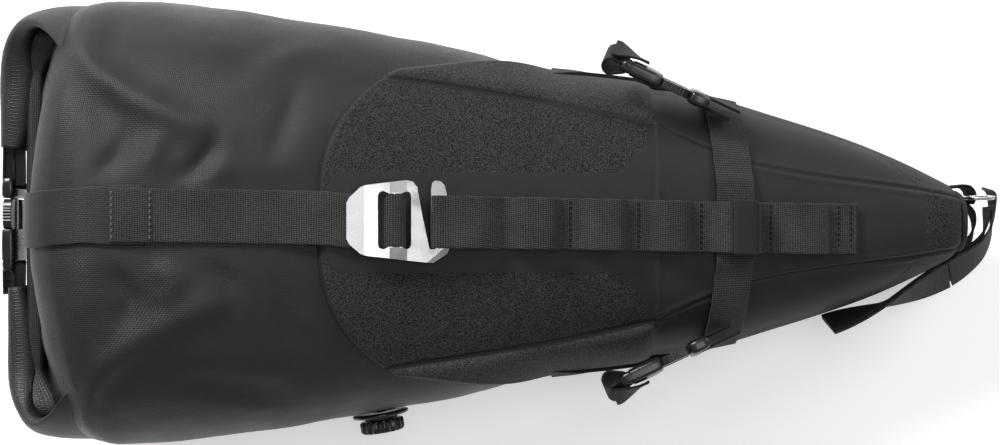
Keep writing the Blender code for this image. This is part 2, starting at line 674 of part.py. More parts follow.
def build_valve(mats):
    turn = -math.pi / 2
    frame = standing(skin(VALVE_X, turn, 0.4), (0, 0, 1), skin_normal(VALVE_X, turn))
    stem = VALVE_STEM
    base = [(3.2, 0.8), (VALVE_FLANGE, 0.8), (VALVE_FLANGE, 1.8), (VALVE_FLANGE - 1, 2.4), (stem, 2.4), (stem, 8.2), (3.2, 8.2)]
    lathe("valve_base", mats["plastic"], base, frame)
    seal = [(stem + 0.3, 2.7), (stem + 2.1, 2.7), (stem + 2.1, 3.8), (stem + 0.3, 3.8)]
    lathe("valve_seal", mats["seal"], seal, frame, 32)
    cap = [
        (0.9, 8.6), (stem + 0.3, 8.6), (stem + 0.3, 4.1), (VALVE_CAP - 1, 4.1), (VALVE_CAP, 4.7), (VALVE_CAP, 9.4),
        (VALVE_CAP - 1, 10.2), (0.9, 10.2),
    ]
    lathe("valve_cap", mats["plastic"], cap, frame, 72, 18, 0.8, (3, 4, 5, 6))


def build():
    clear_scene()
    mats = {
        "cloth": material("coated_fabric", (0.045, 0.046, 0.047), 0.55),
        "mould": material("moulded_laminate", (0.032, 0.032, 0.029), 0.5),
        "grain": material("grained_laminate", (0.022, 0.022, 0.022), 0.8),
        "webbing": material("webbing", (0.035, 0.035, 0.034), 0.8),
        "smooth": material("keeper_fabric", (0.02, 0.02, 0.02), 0.6),
        "plastic": material("acetal", (0.02, 0.02, 0.021), 0.3),
        "alloy": material("forged_alloy", (0.85, 0.85, 0.85), 0.35, 1.0),
        "steel": material("polished_steel", (0.8, 0.8, 0.8), 0.15, 1.0),
        "foam": material("pad_rubber", (0.015, 0.015, 0.015), 0.85),
        "seal": material("seal_rubber", (0.01, 0.01, 0.01), 0.7),
        "loop": material("loop_tape", (0.008, 0.008, 0.008), 0.95),
        "board": material("stiffener_board", (0.12, 0.12, 0.12), 0.6),
    }
    build_bag(mats["cloth"])
    build_harness(mats)
    build_top_straps(mats)
    build_hook(mats["alloy"])
    build_closure(mats)
    build_rail_buckles(mats)
    build_post_strap(mats)
    build_valve(mats)
    for thing in bpy.context.scene.objects:
        thing.location.x -= MIDDLE_X * MM


build()
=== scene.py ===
"""Roll-top saddle bag as it looks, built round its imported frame.

Millimetres inside, in the part's own coordinates before its middle is moved to the origin.
"""
import math

import bmesh
import bpy
import numpy as np
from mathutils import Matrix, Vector, noise


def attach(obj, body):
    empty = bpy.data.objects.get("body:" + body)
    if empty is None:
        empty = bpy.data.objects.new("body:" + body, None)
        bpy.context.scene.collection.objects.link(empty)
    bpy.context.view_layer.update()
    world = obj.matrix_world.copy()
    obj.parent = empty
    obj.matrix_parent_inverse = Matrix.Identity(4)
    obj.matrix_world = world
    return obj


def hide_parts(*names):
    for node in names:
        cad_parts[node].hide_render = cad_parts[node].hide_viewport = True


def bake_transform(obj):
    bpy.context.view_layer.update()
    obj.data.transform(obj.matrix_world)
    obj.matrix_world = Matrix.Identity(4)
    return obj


MM = 0.001
MIDDLE_X = 3.29  # the part's middle, which stands at the frame's origin
SQUARE = 2.6  # power of the bag's rounded rectangle
STATIONS = (  # x, half width, top, bottom of the bag's skin
    (-219, 97, 127, 21), (-217, 100.5, 133, 15), (-211, 104, 140, 6), (-203, 106.2, 145, 1),
    (-185, 108.3, 149, -3),
    (-140, 105, 146, -4), (-80, 97, 135, -4), (-30, 88.5, 122, -4), (0, 81, 116, -4),
    (25, 70.5, 111, -4), (60, 65, 105, -3), (100, 60.5, 98, -3), (140, 49.5, 92, -2),
    (180, 36.5, 85.5, -1), (205, 26, 80, 0), (220, 18.5, 75, 4), (227, 15, 70, 9),
)
NOSE_X = 227.0
TAIL_X = -219.0
HARNESS_START = -84.0
HARNESS_ROUND = 34.0  # how far its rear corners stand ahead of its middle
HARNESS_WRAP = ((-90, 40), (-50, 45), (0, 60), (28, 76), (60, 88), (100, 100), (160, 112), (227, 120))
SPINE_HALF = 22.8
GROOVE = ((-55, 66), (-9, 59.6), (28, 53.4), (74, 44.6))
CREASE = ((75, 44.5), (101, 34.2), (122, 26.8), (154, 21.1), (200, 14.7), (227, 9.5))
WEB_WIDE = 25.0
WEB_THICK = 1.4
CROSS_X = 111.4
CROSS_WIDE = 18.5
VALLEY = 7.7
CREST = 14.6
LADDER_LOOPS = ((3, 27), (36, 59), (69, 90), (98.5, 124.5), (132, 157))
LADDER_END = 170.7
HOOK_AT = (-50.0, 0.7)
HOOK_THICK = 3.2
HOOK_LIFT = 10.8
HOOK_BAR = (-1.0, 0, 0.45)
BUCKLE_LONG = 45.7
BUCKLE_STRAP = 20.0
BAR_IN = 1.5  # from each end of a buckle to the middle of its bar
BAR_ROUND = 2.55  # radius of the webbing's middle round a bar
ROLL_X = (-230.3, -219.4)
ROLL_Z = 76.0
ROLL_HALF_HEIGHT = 17.0
RAIL_LEAN = 20.0  # degrees by which the side buckles' strap loops turn up
CLOSURE_X = -239.2
CLOSURE_TOP = 21.8
LEFT_END = 35.7  # where each folded end of the roll stops, measured from the middle
RIGHT_END = 31.0
POST_Z = 48.0
POST_HALF = 12.5
RING_X = (234.5, 248.5)
RING_Y = 12.4
VALVE_X = -60.0
RIM_MIDDLE = 73.0  # height of the middle of the rear rim
FLANK_MIDDLE = 73.5  # height of the flanks' widest line beside the folded ends
FLANK_HALF = 71.0
NOSE_MIDDLE = 39.5
CAMERA_HEIGHT = 0.945

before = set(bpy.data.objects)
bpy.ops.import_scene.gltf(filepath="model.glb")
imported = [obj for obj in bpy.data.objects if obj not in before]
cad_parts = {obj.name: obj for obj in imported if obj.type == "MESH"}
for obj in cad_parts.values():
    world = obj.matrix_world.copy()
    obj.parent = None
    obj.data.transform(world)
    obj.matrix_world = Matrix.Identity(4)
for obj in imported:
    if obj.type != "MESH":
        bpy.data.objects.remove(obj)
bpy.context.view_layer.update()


# ---- the bag's skin ----

def table(rows, x, column=1):
    """Smooth monotone value of a table at x."""
    xs = np.array([row[0] for row in rows], float)
    ys = np.array([row[column] for row in rows], float)
    slopes = np.diff(ys) / np.diff(xs)
    a, b = slopes[:-1], slopes[1:]
    safe = np.where(a * b > 0, a + b, 1.0)
    inner = np.where(a * b > 0, 2 * a * b / safe, 0.0)
    tangents = np.concatenate([slopes[:1], inner, slopes[-1:]])
    x = np.clip(np.asarray(x, float), xs[0], xs[-1])
    i = np.clip(np.searchsorted(xs, x, side="right") - 1, 0, len(xs) - 2)
    step = xs[i + 1] - xs[i]
    t = (x - xs[i]) / step
    return (
        (2 * t**3 - 3 * t**2 + 1) * ys[i]
        + (t**3 - 2 * t**2 + t) * step * tangents[i]
        + (3 * t**2 - 2 * t**3) * ys[i + 1]
        + (t**3 - t**2) * step * tangents[i + 1]
    )


def squareness(x):
    """The section is a rounded rectangle, squarer towards the rear rim."""
    return SQUARE + 0.7 * step(-176, -214, x)


def on_skin(x, turn):
    x, turn = np.broadcast_arrays(np.asarray(x, float), np.asarray(turn, float))
    wide, high, low = (table(STATIONS, x, column) for column in (1, 2, 3))
    s, c, power = np.sin(turn), np.cos(turn), squareness(x)
    k = (np.abs(s) ** power + np.abs(c) ** power) ** (-1 / power)
    return np.stack([x, wide * s * k, (high + low) / 2 + (high - low) / 2 * c * k], -1)


def unit(v):
    return v / np.maximum(np.linalg.norm(v, axis=-1, keepdims=True), 1e-12)


def skin_normal(x, turn):
    near = np.clip(x, TAIL_X + 0.6, NOSE_X - 0.6)
    along = on_skin(near + 0.5, turn) - on_skin(near - 0.5, turn)
    around = on_skin(near, turn + 0.01) - on_skin(near, turn - 0.01)
    return unit(np.cross(along, around))


def skin(x, turn, lift):
    return on_skin(x, turn) + np.asarray(lift, float)[..., None] * skin_normal(x, turn)


def turn_at(x, y):
    q, power = np.minimum(0.995, np.abs(y) / table(STATIONS, x, 1)), squareness(x)
    return np.copysign(np.arctan2(q, (1 - q**power) ** (1 / power)), y)


def top(x, y, lift):
    return skin(x, turn_at(x, y), lift)


def step(low, high, x):
    t = np.clip((np.asarray(x, float) - low) / (high - low), 0, 1)
    return t * t * (3 - 2 * t)


def hump(x, middle, width):
    return np.exp(-(((np.asarray(x, float) - middle) / width) ** 2))


def travelled(points, axis=0):
    """Distance gone along one axis of a grid of points."""
    steps = np.linalg.norm(np.diff(points, axis=axis), axis=-1)
    return np.insert(np.cumsum(steps, axis=axis), 0, 0.0, axis=axis)


def turns(count):
    return np.linspace(0, 2 * math.pi, count, endpoint=False)


def rounded_square(count, power):
    """Both coordinates round a rounded square with half sides of 1."""
    c, s = np.cos(turns(count)), np.sin(turns(count))
    k = (np.abs(c) ** power + np.abs(s) ** power) ** (-1 / power)
    return c * k, s * k


def ripple(points, size, seed=0.0):
    """Smooth noise from -1 to 1 at each point, with features of this size."""
    flat = np.asarray(points, float).reshape(-1, 3) / size + seed
    found = [noise.noise(p) for p in flat.tolist()]
    return np.array(found).reshape(np.shape(points)[:-1])


# ---- meshes ----

def object_of(name, points, faces, mat=None, uv=None, smooth=True, marks=None):
    """An object from millimetre points, its faces, and cloth coordinates for each face corner."""
    data = bpy.data.meshes.new(name)
    points = (np.asarray(points, float).reshape(-1, 3) - (MIDDLE_X, 0, 0)) * MM
    data.from_pydata(points.tolist(), [], [list(face) for face in faces])
    if uv is not None:
        layer = data.uv_layers.new(name="Cloth")
        layer.data.foreach_set("uv", np.asarray(uv, np.float32).ravel())
    for key, values in (marks or {}).items():
        mark = data.attributes.new(key, "FLOAT", "POINT")
        mark.data.foreach_set("value", np.asarray(values, np.float32).ravel())
    if mat:
        data.materials.append(mat)
    mesh = bmesh.new()
    mesh.from_mesh(data)
    bmesh.ops.recalc_face_normals(mesh, faces=mesh.faces)
    mesh.to_mesh(data)
    mesh.free()
    data.polygons.foreach_set("use_smooth", [smooth] * len(data.polygons))
    made = bpy.data.objects.new(name, data)
    bpy.context.scene.collection.objects.link(made)
    return made


def grid_faces(rows, cols, wrap, loop):
    r = np.arange(rows if loop else rows - 1)
    c = np.arange(cols if wrap else cols - 1)
    r, c = (part.ravel() for part in np.meshgrid(r, c, indexing="ij"))
    r1, c1 = (r + 1) % rows, (c + 1) % cols
    faces = np.stack([r * cols + c, r * cols + c1, r1 * cols + c1, r1 * cols + c], -1)
    wide = cols + 1
    corners = np.stack([r * wide + c, r * wide + c + 1, (r + 1) * wide + c + 1, (r + 1) * wide + c], -1)
    return faces, corners


def lengths(points):
    """Distance along each row of points, with the step that closes it."""
    steps = np.linalg.norm(np.roll(points, -1, axis=-2) - points, axis=-1)
    total = np.cumsum(steps, axis=-1)
    return np.concatenate([np.zeros_like(total[..., :1]), total], -1)


def loft(name, rings, mat, loop=False, marks=None, uv=None, strip=False):
    """Closed surface over a stack of rings; strip caps each end as a folded-over sheet."""
    rings = np.asarray(rings, float)
    rows, cols = rings.shape[:2]
    faces, corners = grid_faces(rows, cols, True, loop)
    if uv is None:
        u = lengths(rings.mean(axis=1)[None])[0]
        uv = np.stack(np.meshgrid(u, lengths(rings[:1])[0], indexing="ij"), -1)
    uv = np.asarray(uv, float).reshape(-1, 2)
    used = [uv[corners].reshape(-1, 2)]
    faces = faces.tolist()
    for row in () if loop else (0, rows - 1):
        ends = [range(cols)]
        if strip:
            ends = [[j, j + 1, cols - 2 - j, cols - 1 - j] for j in range(cols // 2 - 1)]
        for face in ends:
            faces.append([row * cols + j for j in face])
            used.append(uv[[row * (cols + 1) + j for j in face]])
    return object_of(name, rings, faces, mat, np.concatenate(used), marks=marks)


def sheet_solid(name, upper, under, mat, uv, marks):
    """Closed moulded sheet between two grids of points, its coordinates given for the upper one."""
    rings = np.concatenate([upper, under[:, ::-1]], axis=1)
    uv = np.concatenate([uv, uv[:, ::-1], uv[:, :1]], axis=1)
    uv = np.concatenate([uv, uv[-1:]], axis=0)
    marks = {key: np.concatenate([value, value[:, ::-1]], axis=1) for key, value in marks.items()}
    return loft(name, rings, mat, marks=marks, uv=uv, strip=True)


def curve_through(knots, spacing, closed=False):
    """Evenly spaced Catmull-Rom rows through rows of numbers, the first three a position."""
    knots = np.asarray(knots, float)
    if closed:
        padded = np.concatenate([knots[-1:], knots, knots[:2]])
    else:
        padded = np.concatenate([2 * knots[:1] - knots[1:2], knots, 2 * knots[-1:] - knots[-2:-1]])
    t = np.linspace(0, 1, 24, endpoint=False)[:, None]
    found = []
    for a, b, c, d in zip(padded, padded[1:], padded[2:], padded[3:]):
        bent = (2 * a - 5 * b + 4 * c - d) * t**2 + (3 * b - a - 3 * c + d) * t**3
        found.append(0.5 * (2 * b + (c - a) * t + bent))
    dense = np.concatenate(found + [padded[-2:-1]])
    gone = travelled(dense[:, :3])
    count = max(3, int(round(gone[-1] / spacing)))
    at = np.linspace(0, gone[-1], count + 1)
    if closed:
        at = at[:-1]
    return np.stack([np.interp(at, gone, dense[:, k]) for k in range(dense.shape[1])], -1)


STRAP_EDGE = ((1.0, 0.0), (0.994, 0.26), (0.975, 0.43), (0.94, 0.5))


def strap_section():
    """A woven strap's outline as (share of half width, share of thickness), rounded at its edges."""
    left = [(-w, t) for w, t in reversed(STRAP_EDGE)]
    upper = [*STRAP_EDGE, *((w, 0.5) for w in np.linspace(0.9, -0.9, 18)), *left]
    under = [(w, -t) for w, t in reversed(upper[1:-1])]
    return np.array(upper + under).T


def strap(name, mat, stations, thick, spacing=1.6, closed=False, sway=0.0):
    """Woven strap through (point, width direction, normal, half width) stations."""
    rows = [[*point, *unit(np.array(wide, float)), *unit(np.array(normal, float)), half]
            for point, wide, normal, half in stations]
    rows = curve_through(rows, spacing, closed)
    p, w, n, half = rows[:, :3], unit(rows[:, 3:6]), unit(rows[:, 6:9]), rows[:, 9]
    across, through = strap_section()
    wide = half * (1 + sway * ripple(p, 14.0, 3.1))
    rings = p[:, None] + w[:, None] * (across * wide[:, None])[..., None]
    rings = rings + n[:, None] * (through * thick)[:, None]
    gone = travelled(p)
    gone = np.append(gone, gone[-1] + spacing)
    uv = np.stack(np.meshgrid(gone, np.append(across, across[0]) * half.mean(), indexing="ij"), -1)
    return loft(name, rings, mat, loop=closed, uv=uv)


def thread(name, mat, stitches, radius=0.36, bow=0.5):
    """Short raised stitches, each from one point to another over a surface with this normal."""
    shares = np.array((0.0, 0.18, 0.5, 0.82, 1.0))[:, None, None]
    size = radius * np.where(np.abs(shares - 0.5) == 0.5, 0.45, 1.0)
    rows, sides = len(shares), 6
    angle = turns(sides)[:, None]
    walls = grid_faces(rows, sides, True, False)[0]
    caps = np.array([range(sides), range(sides * (rows - 1), sides * rows)])
    points, faces = [], []
    for a, b, out in stitches:
        way = unit(b - a)
        out = unit(out - way * (out @ way))
        side = np.cross(way, out)
        first = rows * sides * len(points)
        centre = a + (b - a) * shares + out * (bow * (np.sin(math.pi * shares) - 0.35))
        points.append(centre + size * (np.cos(angle) * side + np.sin(angle) * out))
        faces += [*(walls + first).tolist(), *(caps + first).tolist()]
    uv = np.zeros((sum(len(face) for face in faces), 2))
    return object_of(name, points, faces, mat, uv)


def settle(thing):
    """Replaces the object's mesh with what its modifiers make of it."""
    graph = bpy.context.evaluated_depsgraph_get()
    made = bpy.data.meshes.new_from_object(thing.evaluated_get(graph))
    thing.modifiers.clear()
    thing.data = made
    return thing


def cut_with(thing, *cutters, how="DIFFERENCE"):
    for cutter in cutters:
        tool = thing.modifiers.new("cut", "BOOLEAN")
        tool.operation = how
        tool.solver = "EXACT"
        tool.object = cutter
    bpy.context.view_layer.update()
    settle(thing)
    for cutter in cutters:
        bpy.data.objects.remove(cutter)
    return thing


def soften(thing, width, parts=3, angle=35):
    edge = thing.modifiers.new("edge", "BEVEL")
    edge.width = width * MM
    edge.segments = parts
    edge.limit_method = "ANGLE"
    edge.angle_limit = math.radians(angle)
    edge.harden_normals = True
    thing.data.polygons.foreach_set("use_smooth", [True] * len(thing.data.polygons))
    return thing


# ---- frames that pieces stand in ----

class Stand:
    """A frame at a millimetre point, with local x along and local z through."""

    def __init__(self, origin, along, through):
        self.x = unit(np.array(along, float))
        through = np.array(through, float)
        self.z = unit(through - through @ self.x * self.x)
        self.y = np.cross(self.z, self.x)
        self.origin = np.array(origin, float)

    def __call__(self, points):
        points = np.asarray(points, float)
        return self.origin + points @ np.stack([self.x, self.y, self.z])

    def turned(self, vectors):
        return np.asarray(vectors, float) @ np.stack([self.x, self.y, self.z])


def box_of(stand, x, y, z):
    corners = [(a, b, c) for a in x for b in y for c in z]
    faces = [(0, 1, 3, 2), (4, 6, 7, 5), (0, 4, 5, 1), (2, 3, 7, 6), (0, 2, 6, 4), (1, 5, 7, 3)]
    return object_of("cutter", stand(corners), faces, smooth=False)


def plate_of(name, mat, stand, outline, low, high):
    """Flat plate of an outline between two heights."""
    count = len(outline)
    points = [(x, y, low) for x, y in outline] + [(x, y, high) for x, y in outline]
    faces = [[i, (i + 1) % count, count + (i + 1) % count, count + i] for i in range(count)]
    faces += [list(range(count)), list(range(count, 2 * count))]
    return object_of(name, stand(points), faces, mat)


def body_of_sections(name, mat, stand, sections, power=4.5, steps=56):
    """Rounded moulding along local x through (x, half width, half thickness) sections."""
    y, z = rounded_square(steps, power)
    rings = [stand(np.stack([np.full(steps, x), w * y, t * z], -1)) for x, w, t in sections]
    return loft(name, rings, mat)


def turned_piece(name, mat, stand, profile, steps=96, ribs=0, depth=0.0, ribbed=()):
    """Turned piece round local z: profile of (radius, height), some rows ribbed like a grip."""
    a = turns(steps)
    rings = []
    for index, (radius, height) in enumerate(profile):
        r = radius - (index in ribbed) * depth * (0.5 - 0.5 * np.cos(ribs * a)) ** 0.7
        rings.append(stand(np.stack([r * np.cos(a), r * np.sin(a), np.full(steps, height)], -1)))
    return loft(name, rings, mat, loop=True)


def ready(thing, body, slot, *nodes):
    """Hides the CAD nodes the piece stands for and hangs it on the body that carries it; slot is not used.
    """
    if nodes:
        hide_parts(*nodes)
    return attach(thing, body)


# ---- materials ----

def node(tree, kind, inputs=(), **settings):
    made = tree.nodes.new(kind)
    for key, value in settings.items():
        setattr(made, key, value)
    for key, value in dict(inputs).items():
        if isinstance(value, bpy.types.NodeSocket):
            tree.links.new(value, made.inputs[key])
        else:
            made.inputs[key].default_value = value
    return made


def maths(tree, how, a, b=0.0):
    return node(tree, "ShaderNodeMath", {0: a, 1: b}, operation=how).outputs[0]


def total(tree, *shares):
    """Sum of sockets, each times its share."""
    found = 0.0
    for value, share in shares:
        found = maths(tree, "ADD", found, maths(tree, "MULTIPLY", value, share))
    return found


def noise_of(tree, size, detail=2.0, rough=0.5, stretch=(1, 1, 1)):
    """Noise over the object's own space, with features of about this many millimetres."""
    place = node(tree, "ShaderNodeTexCoord").outputs["Object"]
    place = node(tree, "ShaderNodeMapping", {"Vector": place, "Scale": stretch}).outputs[0]
    return node(tree, "ShaderNodeTexNoise", {
        "Vector": place, "Scale": 1000.0 / size, "Detail": detail, "Roughness": rough}).outputs[0]


def spread(tree, value, low, high, to_low=0.0, to_high=1.0):
    return node(tree, "ShaderNodeMapRange", {
        "Value": value, "From Min": low, "From Max": high, "To Min": to_low, "To Max": to_high}).outputs[0]


def weave(tree, along, across, skew=0.0):
    """Height of a plain weave over the cloth coordinates, its threads this many millimetres apart."""
    parts = node(tree, "ShaderNodeSeparateXYZ",
                 {0: node(tree, "ShaderNodeUVMap", uv_map="Cloth").outputs[0]})
    u = maths(tree, "MULTIPLY", parts.outputs[0], math.pi / along)
    v = maths(tree, "MULTIPLY", parts.outputs[1], math.pi / across)
    if skew:
        v = maths(tree, "ADD", v, maths(tree, "MULTIPLY", u, skew))
    su, sv = maths(tree, "SINE", u), maths(tree, "SINE", v)
    over = maths(tree, "GREATER_THAN", maths(tree, "MULTIPLY", su, sv), 0.0)
    au, av = maths(tree, "ABSOLUTE", su), maths(tree, "ABSOLUTE", sv)
    crowned = [
        maths(tree, "MULTIPLY", maths(tree, "POWER", across_it, 0.8),
              maths(tree, "ADD", maths(tree, "MULTIPLY", along_it, 0.45), 0.55))
        for across_it, along_it in ((au, av), (av, au))
    ]
    return node(tree, "ShaderNodeMix", {"Factor": over, 2: crowned[0], 3: crowned[1]}).outputs[0]


def mixed(tree, factor, a, b):
    return node(tree, "ShaderNodeMix", {"Factor": factor, 6: a, 7: b}, data_type="RGBA").outputs[2]


def tint(tree, factor, *tones):
    """From dark to light, each a colour or one number for a grey."""
    colours = [tone if isinstance(tone, tuple) else (tone,) * 3 for tone in tones]
    return mixed(tree, factor, *((*colour, 1) for colour in colours))


def material(name, rough, metal=0.0, **sockets):
    made = bpy.data.materials.new(name)
    made.use_nodes = True
    shader = made.node_tree.nodes["Principled BSDF"]
    shader.inputs["Metallic"].default_value = metal
    shader.inputs["Roughness"].default_value = rough
    for key, value in sockets.items():
        shader.inputs[key.replace("_", " ")].default_value = value
    return made, made.node_tree, shader


def surface(tree, shader, colour, rough=None, height=None, depth=0.1, strength=1.0):
    tree.links.new(colour, shader.inputs["Base Color"])
    if rough is not None:
        tree.links.new(rough, shader.inputs["Roughness"])
    if height is not None:
        bump = node(tree, "ShaderNodeBump",
                    {"Strength": strength, "Distance": depth * MM, "Height": height})
        tree.links.new(bump.outputs[0], shader.inputs["Normal"])


def coated_cloth():
    """Thin woven nylon with a matt coating, rubbed a little lighter in places, its sides darkened with
    painted shade.
    """
    made, tree, shader = material("coated_fabric_look", 0.46, Specular_IOR_Level=0.38)
    threads = weave(tree, 0.86, 0.86)
    rub = noise_of(tree, 34, 4.0, 0.6)
    fine = noise_of(tree, 1.3, 2.0)
    mix = spread(tree, total(tree, (threads, 0.5), (rub, 0.6), (fine, 0.4)), 0.35, 1.15)
    worn = tint(tree, mix, (0.006, 0.006, 0.0062), (0.019, 0.019, 0.0196))
    # painted shade: the colour goes from a much darker tone on the sides to the rubbed tone on the upper
    # face, by which way the surface faces
    normal = node(tree, "ShaderNodeNewGeometry").outputs["Normal"]
    facing = node(tree, "ShaderNodeSeparateXYZ", {0: normal}).outputs[2]
    painted_side_shade = tint(tree, threads, (0.002, 0.002, 0.0021), (0.005, 0.005, 0.0053))
    colour = mixed(tree, spread(tree, facing, 0.0, 0.92), painted_side_shade, worn)
    rough = spread(tree, rub, 0.3, 0.7, 0.38, 0.50)
    surface(tree, shader, colour, rough, total(tree, (threads, 1.0), (fine, 0.8)), 0.16, 0.8)
    return made


def harness_mould():
    """Moulded laminate: fine smooth knit, with coarse grained panels where its mark is 1."""
    made, tree, shader = material("moulded_laminate_look", 0.55, Specular_IOR_Level=0.25)
    mark = node(tree, "ShaderNodeAttribute", attribute_name="grained").outputs["Fac"]
    pale = node(tree, "ShaderNodeAttribute", attribute_name="flank").outputs["Fac"]
    worms = noise_of(tree, 0.52, 1.5, 0.6)
    fine = noise_of(tree, 0.55, 1.0)
    cloud = noise_of(tree, 26, 3.0, 0.55)
    speck = spread(tree, worms, 0.44, 0.58)
    mix = spread(tree, total(tree, (fine, 0.6), (cloud, 0.5)), 0.3, 0.8)
    smooth = tint(tree, mix, (0.0140, 0.0140, 0.0123), (0.0235, 0.0235, 0.0208))
    grained = mixed(tree, pale, tint(tree, speck, 0.001, 0.044), tint(tree, speck, 0.012, 0.072))
    colour = mixed(tree, mark, smooth, grained)
    height = total(tree, (fine, 0.16), (maths(tree, "MULTIPLY", worms, mark), 1.8))
    rough = spread(tree, mark, 0, 1, 0.56, 0.72)
    surface(tree, shader, colour, rough, height, 0.22, 0.8)
    return made


def woven(name, dark, light, along, across, depth, rough=0.78, sheen=0.1):
    """Woven strap: threads at a slight slant, with worn pale tips."""
    made, tree, shader = material(
        name, rough, Specular_IOR_Level=0.25, Sheen_Weight=sheen, Sheen_Roughness=0.45)
    threads = weave(tree, along, across, 0.12)
    fuzz = noise_of(tree, 0.8, 2.0)
    cloud = noise_of(tree, 18, 3.0)
    mix = total(tree, (threads, 0.55), (fuzz, 0.5), (cloud, 0.3))
    colour = tint(tree, spread(tree, mix, 0.5, 1.05), dark, light)
    surface(tree, shader, colour, spread(tree, fuzz, 0.3, 0.7, rough - 0.06, rough + 0.06),
            total(tree, (threads, 1.0), (fuzz, 0.6)), depth, 0.9)
    return made


def moulded_plastic(name, dark, light, rough, size=0.5):
    made, tree, shader = material(name, rough)
    cloud = noise_of(tree, 9, 3.0)
    fine = noise_of(tree, size, 2.0)
    rub = noise_of(tree, 3.0, 4.0, 0.7, (1, 5, 1))
    colour = tint(tree, spread(tree, total(tree, (cloud, 0.6), (fine, 0.4)), 0.3, 0.75), dark, light)
    surface(tree, shader, colour, spread(tree, rub, 0.35, 0.7, rough - 0.05, rough + 0.09), fine, 0.03,
            0.35)
    return made


def metal(name, dark, light, rough, grain, depth):
    made, tree, shader = material(name, rough, 1.0)
    blast = noise_of(tree, grain, 2.0, 0.6)
    cloud = noise_of(tree, 7, 3.0)
    colour = tint(tree, spread(tree, total(tree, (blast, 0.6), (cloud, 0.4)), 0.35, 0.7), dark, light)
    surface(tree, shader, colour, spread(tree, cloud, 0.3, 0.7, rough - 0.04, rough + 0.06), blast, depth,
            0.6)
    return made


def speckled_foam(name, dark, light, rough, size):
    made, tree, shader = material(name, rough)
    cells = noise_of(tree, size, 2.0, 0.6)
    colour = tint(tree, spread(tree, cells, 0.35, 0.7), dark, light)
    surface(tree, shader, colour, None, cells, 0.18, 0.7)
    return made


MATS = {
    "cloth": coated_cloth(),
    "mould": harness_mould(),
    "webbing": woven("webbing_look", (0.004, 0.004, 0.0038), (0.075, 0.074, 0.069), 1.15, 0.9, 0.3, 0.78,
                     0.05),
    "black_web": woven("black_webbing_look", 0.002, 0.008, 1.0, 0.78, 0.2, 0.7, 0.02),
    "keeper": woven("keeper_look", (0.010, 0.010, 0.0095), (0.020, 0.020, 0.019), 0.7, 0.7, 0.05, 0.6,
                    0.03),
    "thread": woven("thread_look", 0.10, (0.20, 0.20, 0.195), 0.5, 0.5, 0.05, 0.6),
    "plastic": moulded_plastic("acetal_look", (0.008, 0.008, 0.009), (0.016, 0.016, 0.017), 0.24),
    # blasted alloy: a matt finish, and a darker grey that is partly painted shade for the hook's tilted
    # facets
    "blasted_and_shaded": metal("blasted_alloy_and_painted_shade_look", (0.44, 0.44, 0.45), (0.60, 0.60, 0.61), 0.42, 0.45, 0.05),
    "bright": metal("bright_alloy_look", (0.88, 0.88, 0.89), 0.96, 0.17, 0.8, 0.006),
    "steel": metal("polished_steel_look", (0.72, 0.72, 0.73), (0.86, 0.86, 0.87), 0.14, 0.6, 0.005),
    "foam": speckled_foam("pad_rubber_look", 0.006, 0.022, 0.82, 0.8),
    "seal": moulded_plastic("seal_rubber_look", 0.008, 0.014, 0.66, 0.9),
    "loop": speckled_foam("loop_tape_look", 0.003, 0.020, 0.95, 0.6),
    "board": moulded_plastic("stiffener_look", 0.10, 0.15, 0.6, 1.0),
}


# ---- the filled cloth ----

def line_distance(x, y, knots):
    """Distance of each point from a line through knots, and how far along it stands, from 0 to 1."""
    best, at = np.full(np.shape(x), 1e9), np.zeros(np.shape(x))
    for i, (a, b) in enumerate(zip(knots, knots[1:])):
        dx, dy = b[0] - a[0], b[1] - a[1]
        t = np.clip(((x - a[0]) * dx + (y - a[1]) * dy) / (dx * dx + dy * dy), 0, 1)
        gone = np.hypot(x - a[0] - t * dx, y - a[1] - t * dy)
        nearer = gone < best
        best = np.where(nearer, gone, best)
        at = np.where(nearer, (i + t) / (len(knots) - 1), at)
    return best, at


FOLDS = (  # line over the bag's face, width, height
    (((-207, 86), (-190, 72), (-166, 56), (-142, 45), (-118, 38)), 6.5, 3.6),
    (((-202, -88), (-184, -68), (-162, -52), (-138, -40), (-112, -31)), 7.0, 3.4),
    (((-196, 60), (-182, 50), (-166, 34)), 9.0, -2.4),
    (((-150, 17), (-140, 22), (-131, 34), (-129, 46)), 4.4, -3.4),
    (((-146, 8), (-134, 12), (-122, 26)), 4.6, 2.2), (((-182, 20), (-172, 32), (-168, 46)), 5.0, -2.0),
    (((-160, 22), (-156, 34), (-152, 44)), 4.5, 1.5), (((-178, -20), (-168, -34), (-172, -50)), 6.0, -2.4),
    (((-154, -16), (-148, -28), (-152, -40)), 5.0, 1.8),
    (((-132, -16), (-124, -28), (-120, -44)), 5.0, -2.4),
    (((-104, 30), (-98, 48), (-92, 66)), 5.5, -1.8), (((-100, -30), (-96, -48), (-86, -64)), 5.5, -1.8),
    (((-120, 62), (-98, 76), (-74, 84)), 7.0, 2.0), (((-150, -72), (-120, -78), (-92, -84)), 7.0, -2.0),
)


def harness_start(side):
    """Where the harness begins, from its middle (0) to its edges (1)."""
    return HARNESS_START + HARNESS_ROUND * np.abs(side) ** 3.2


def under_harness(x, turn):
    """1 where the harness lies on the bag, 0 well clear of it."""
    wrap = np.radians(table(HARNESS_WRAP, x))
    side = np.clip(np.abs(turn) / wrap, 0, 1)
    return step(-8, 0, x - harness_start(side)) * step(wrap + math.radians(9), wrap, np.abs(turn))


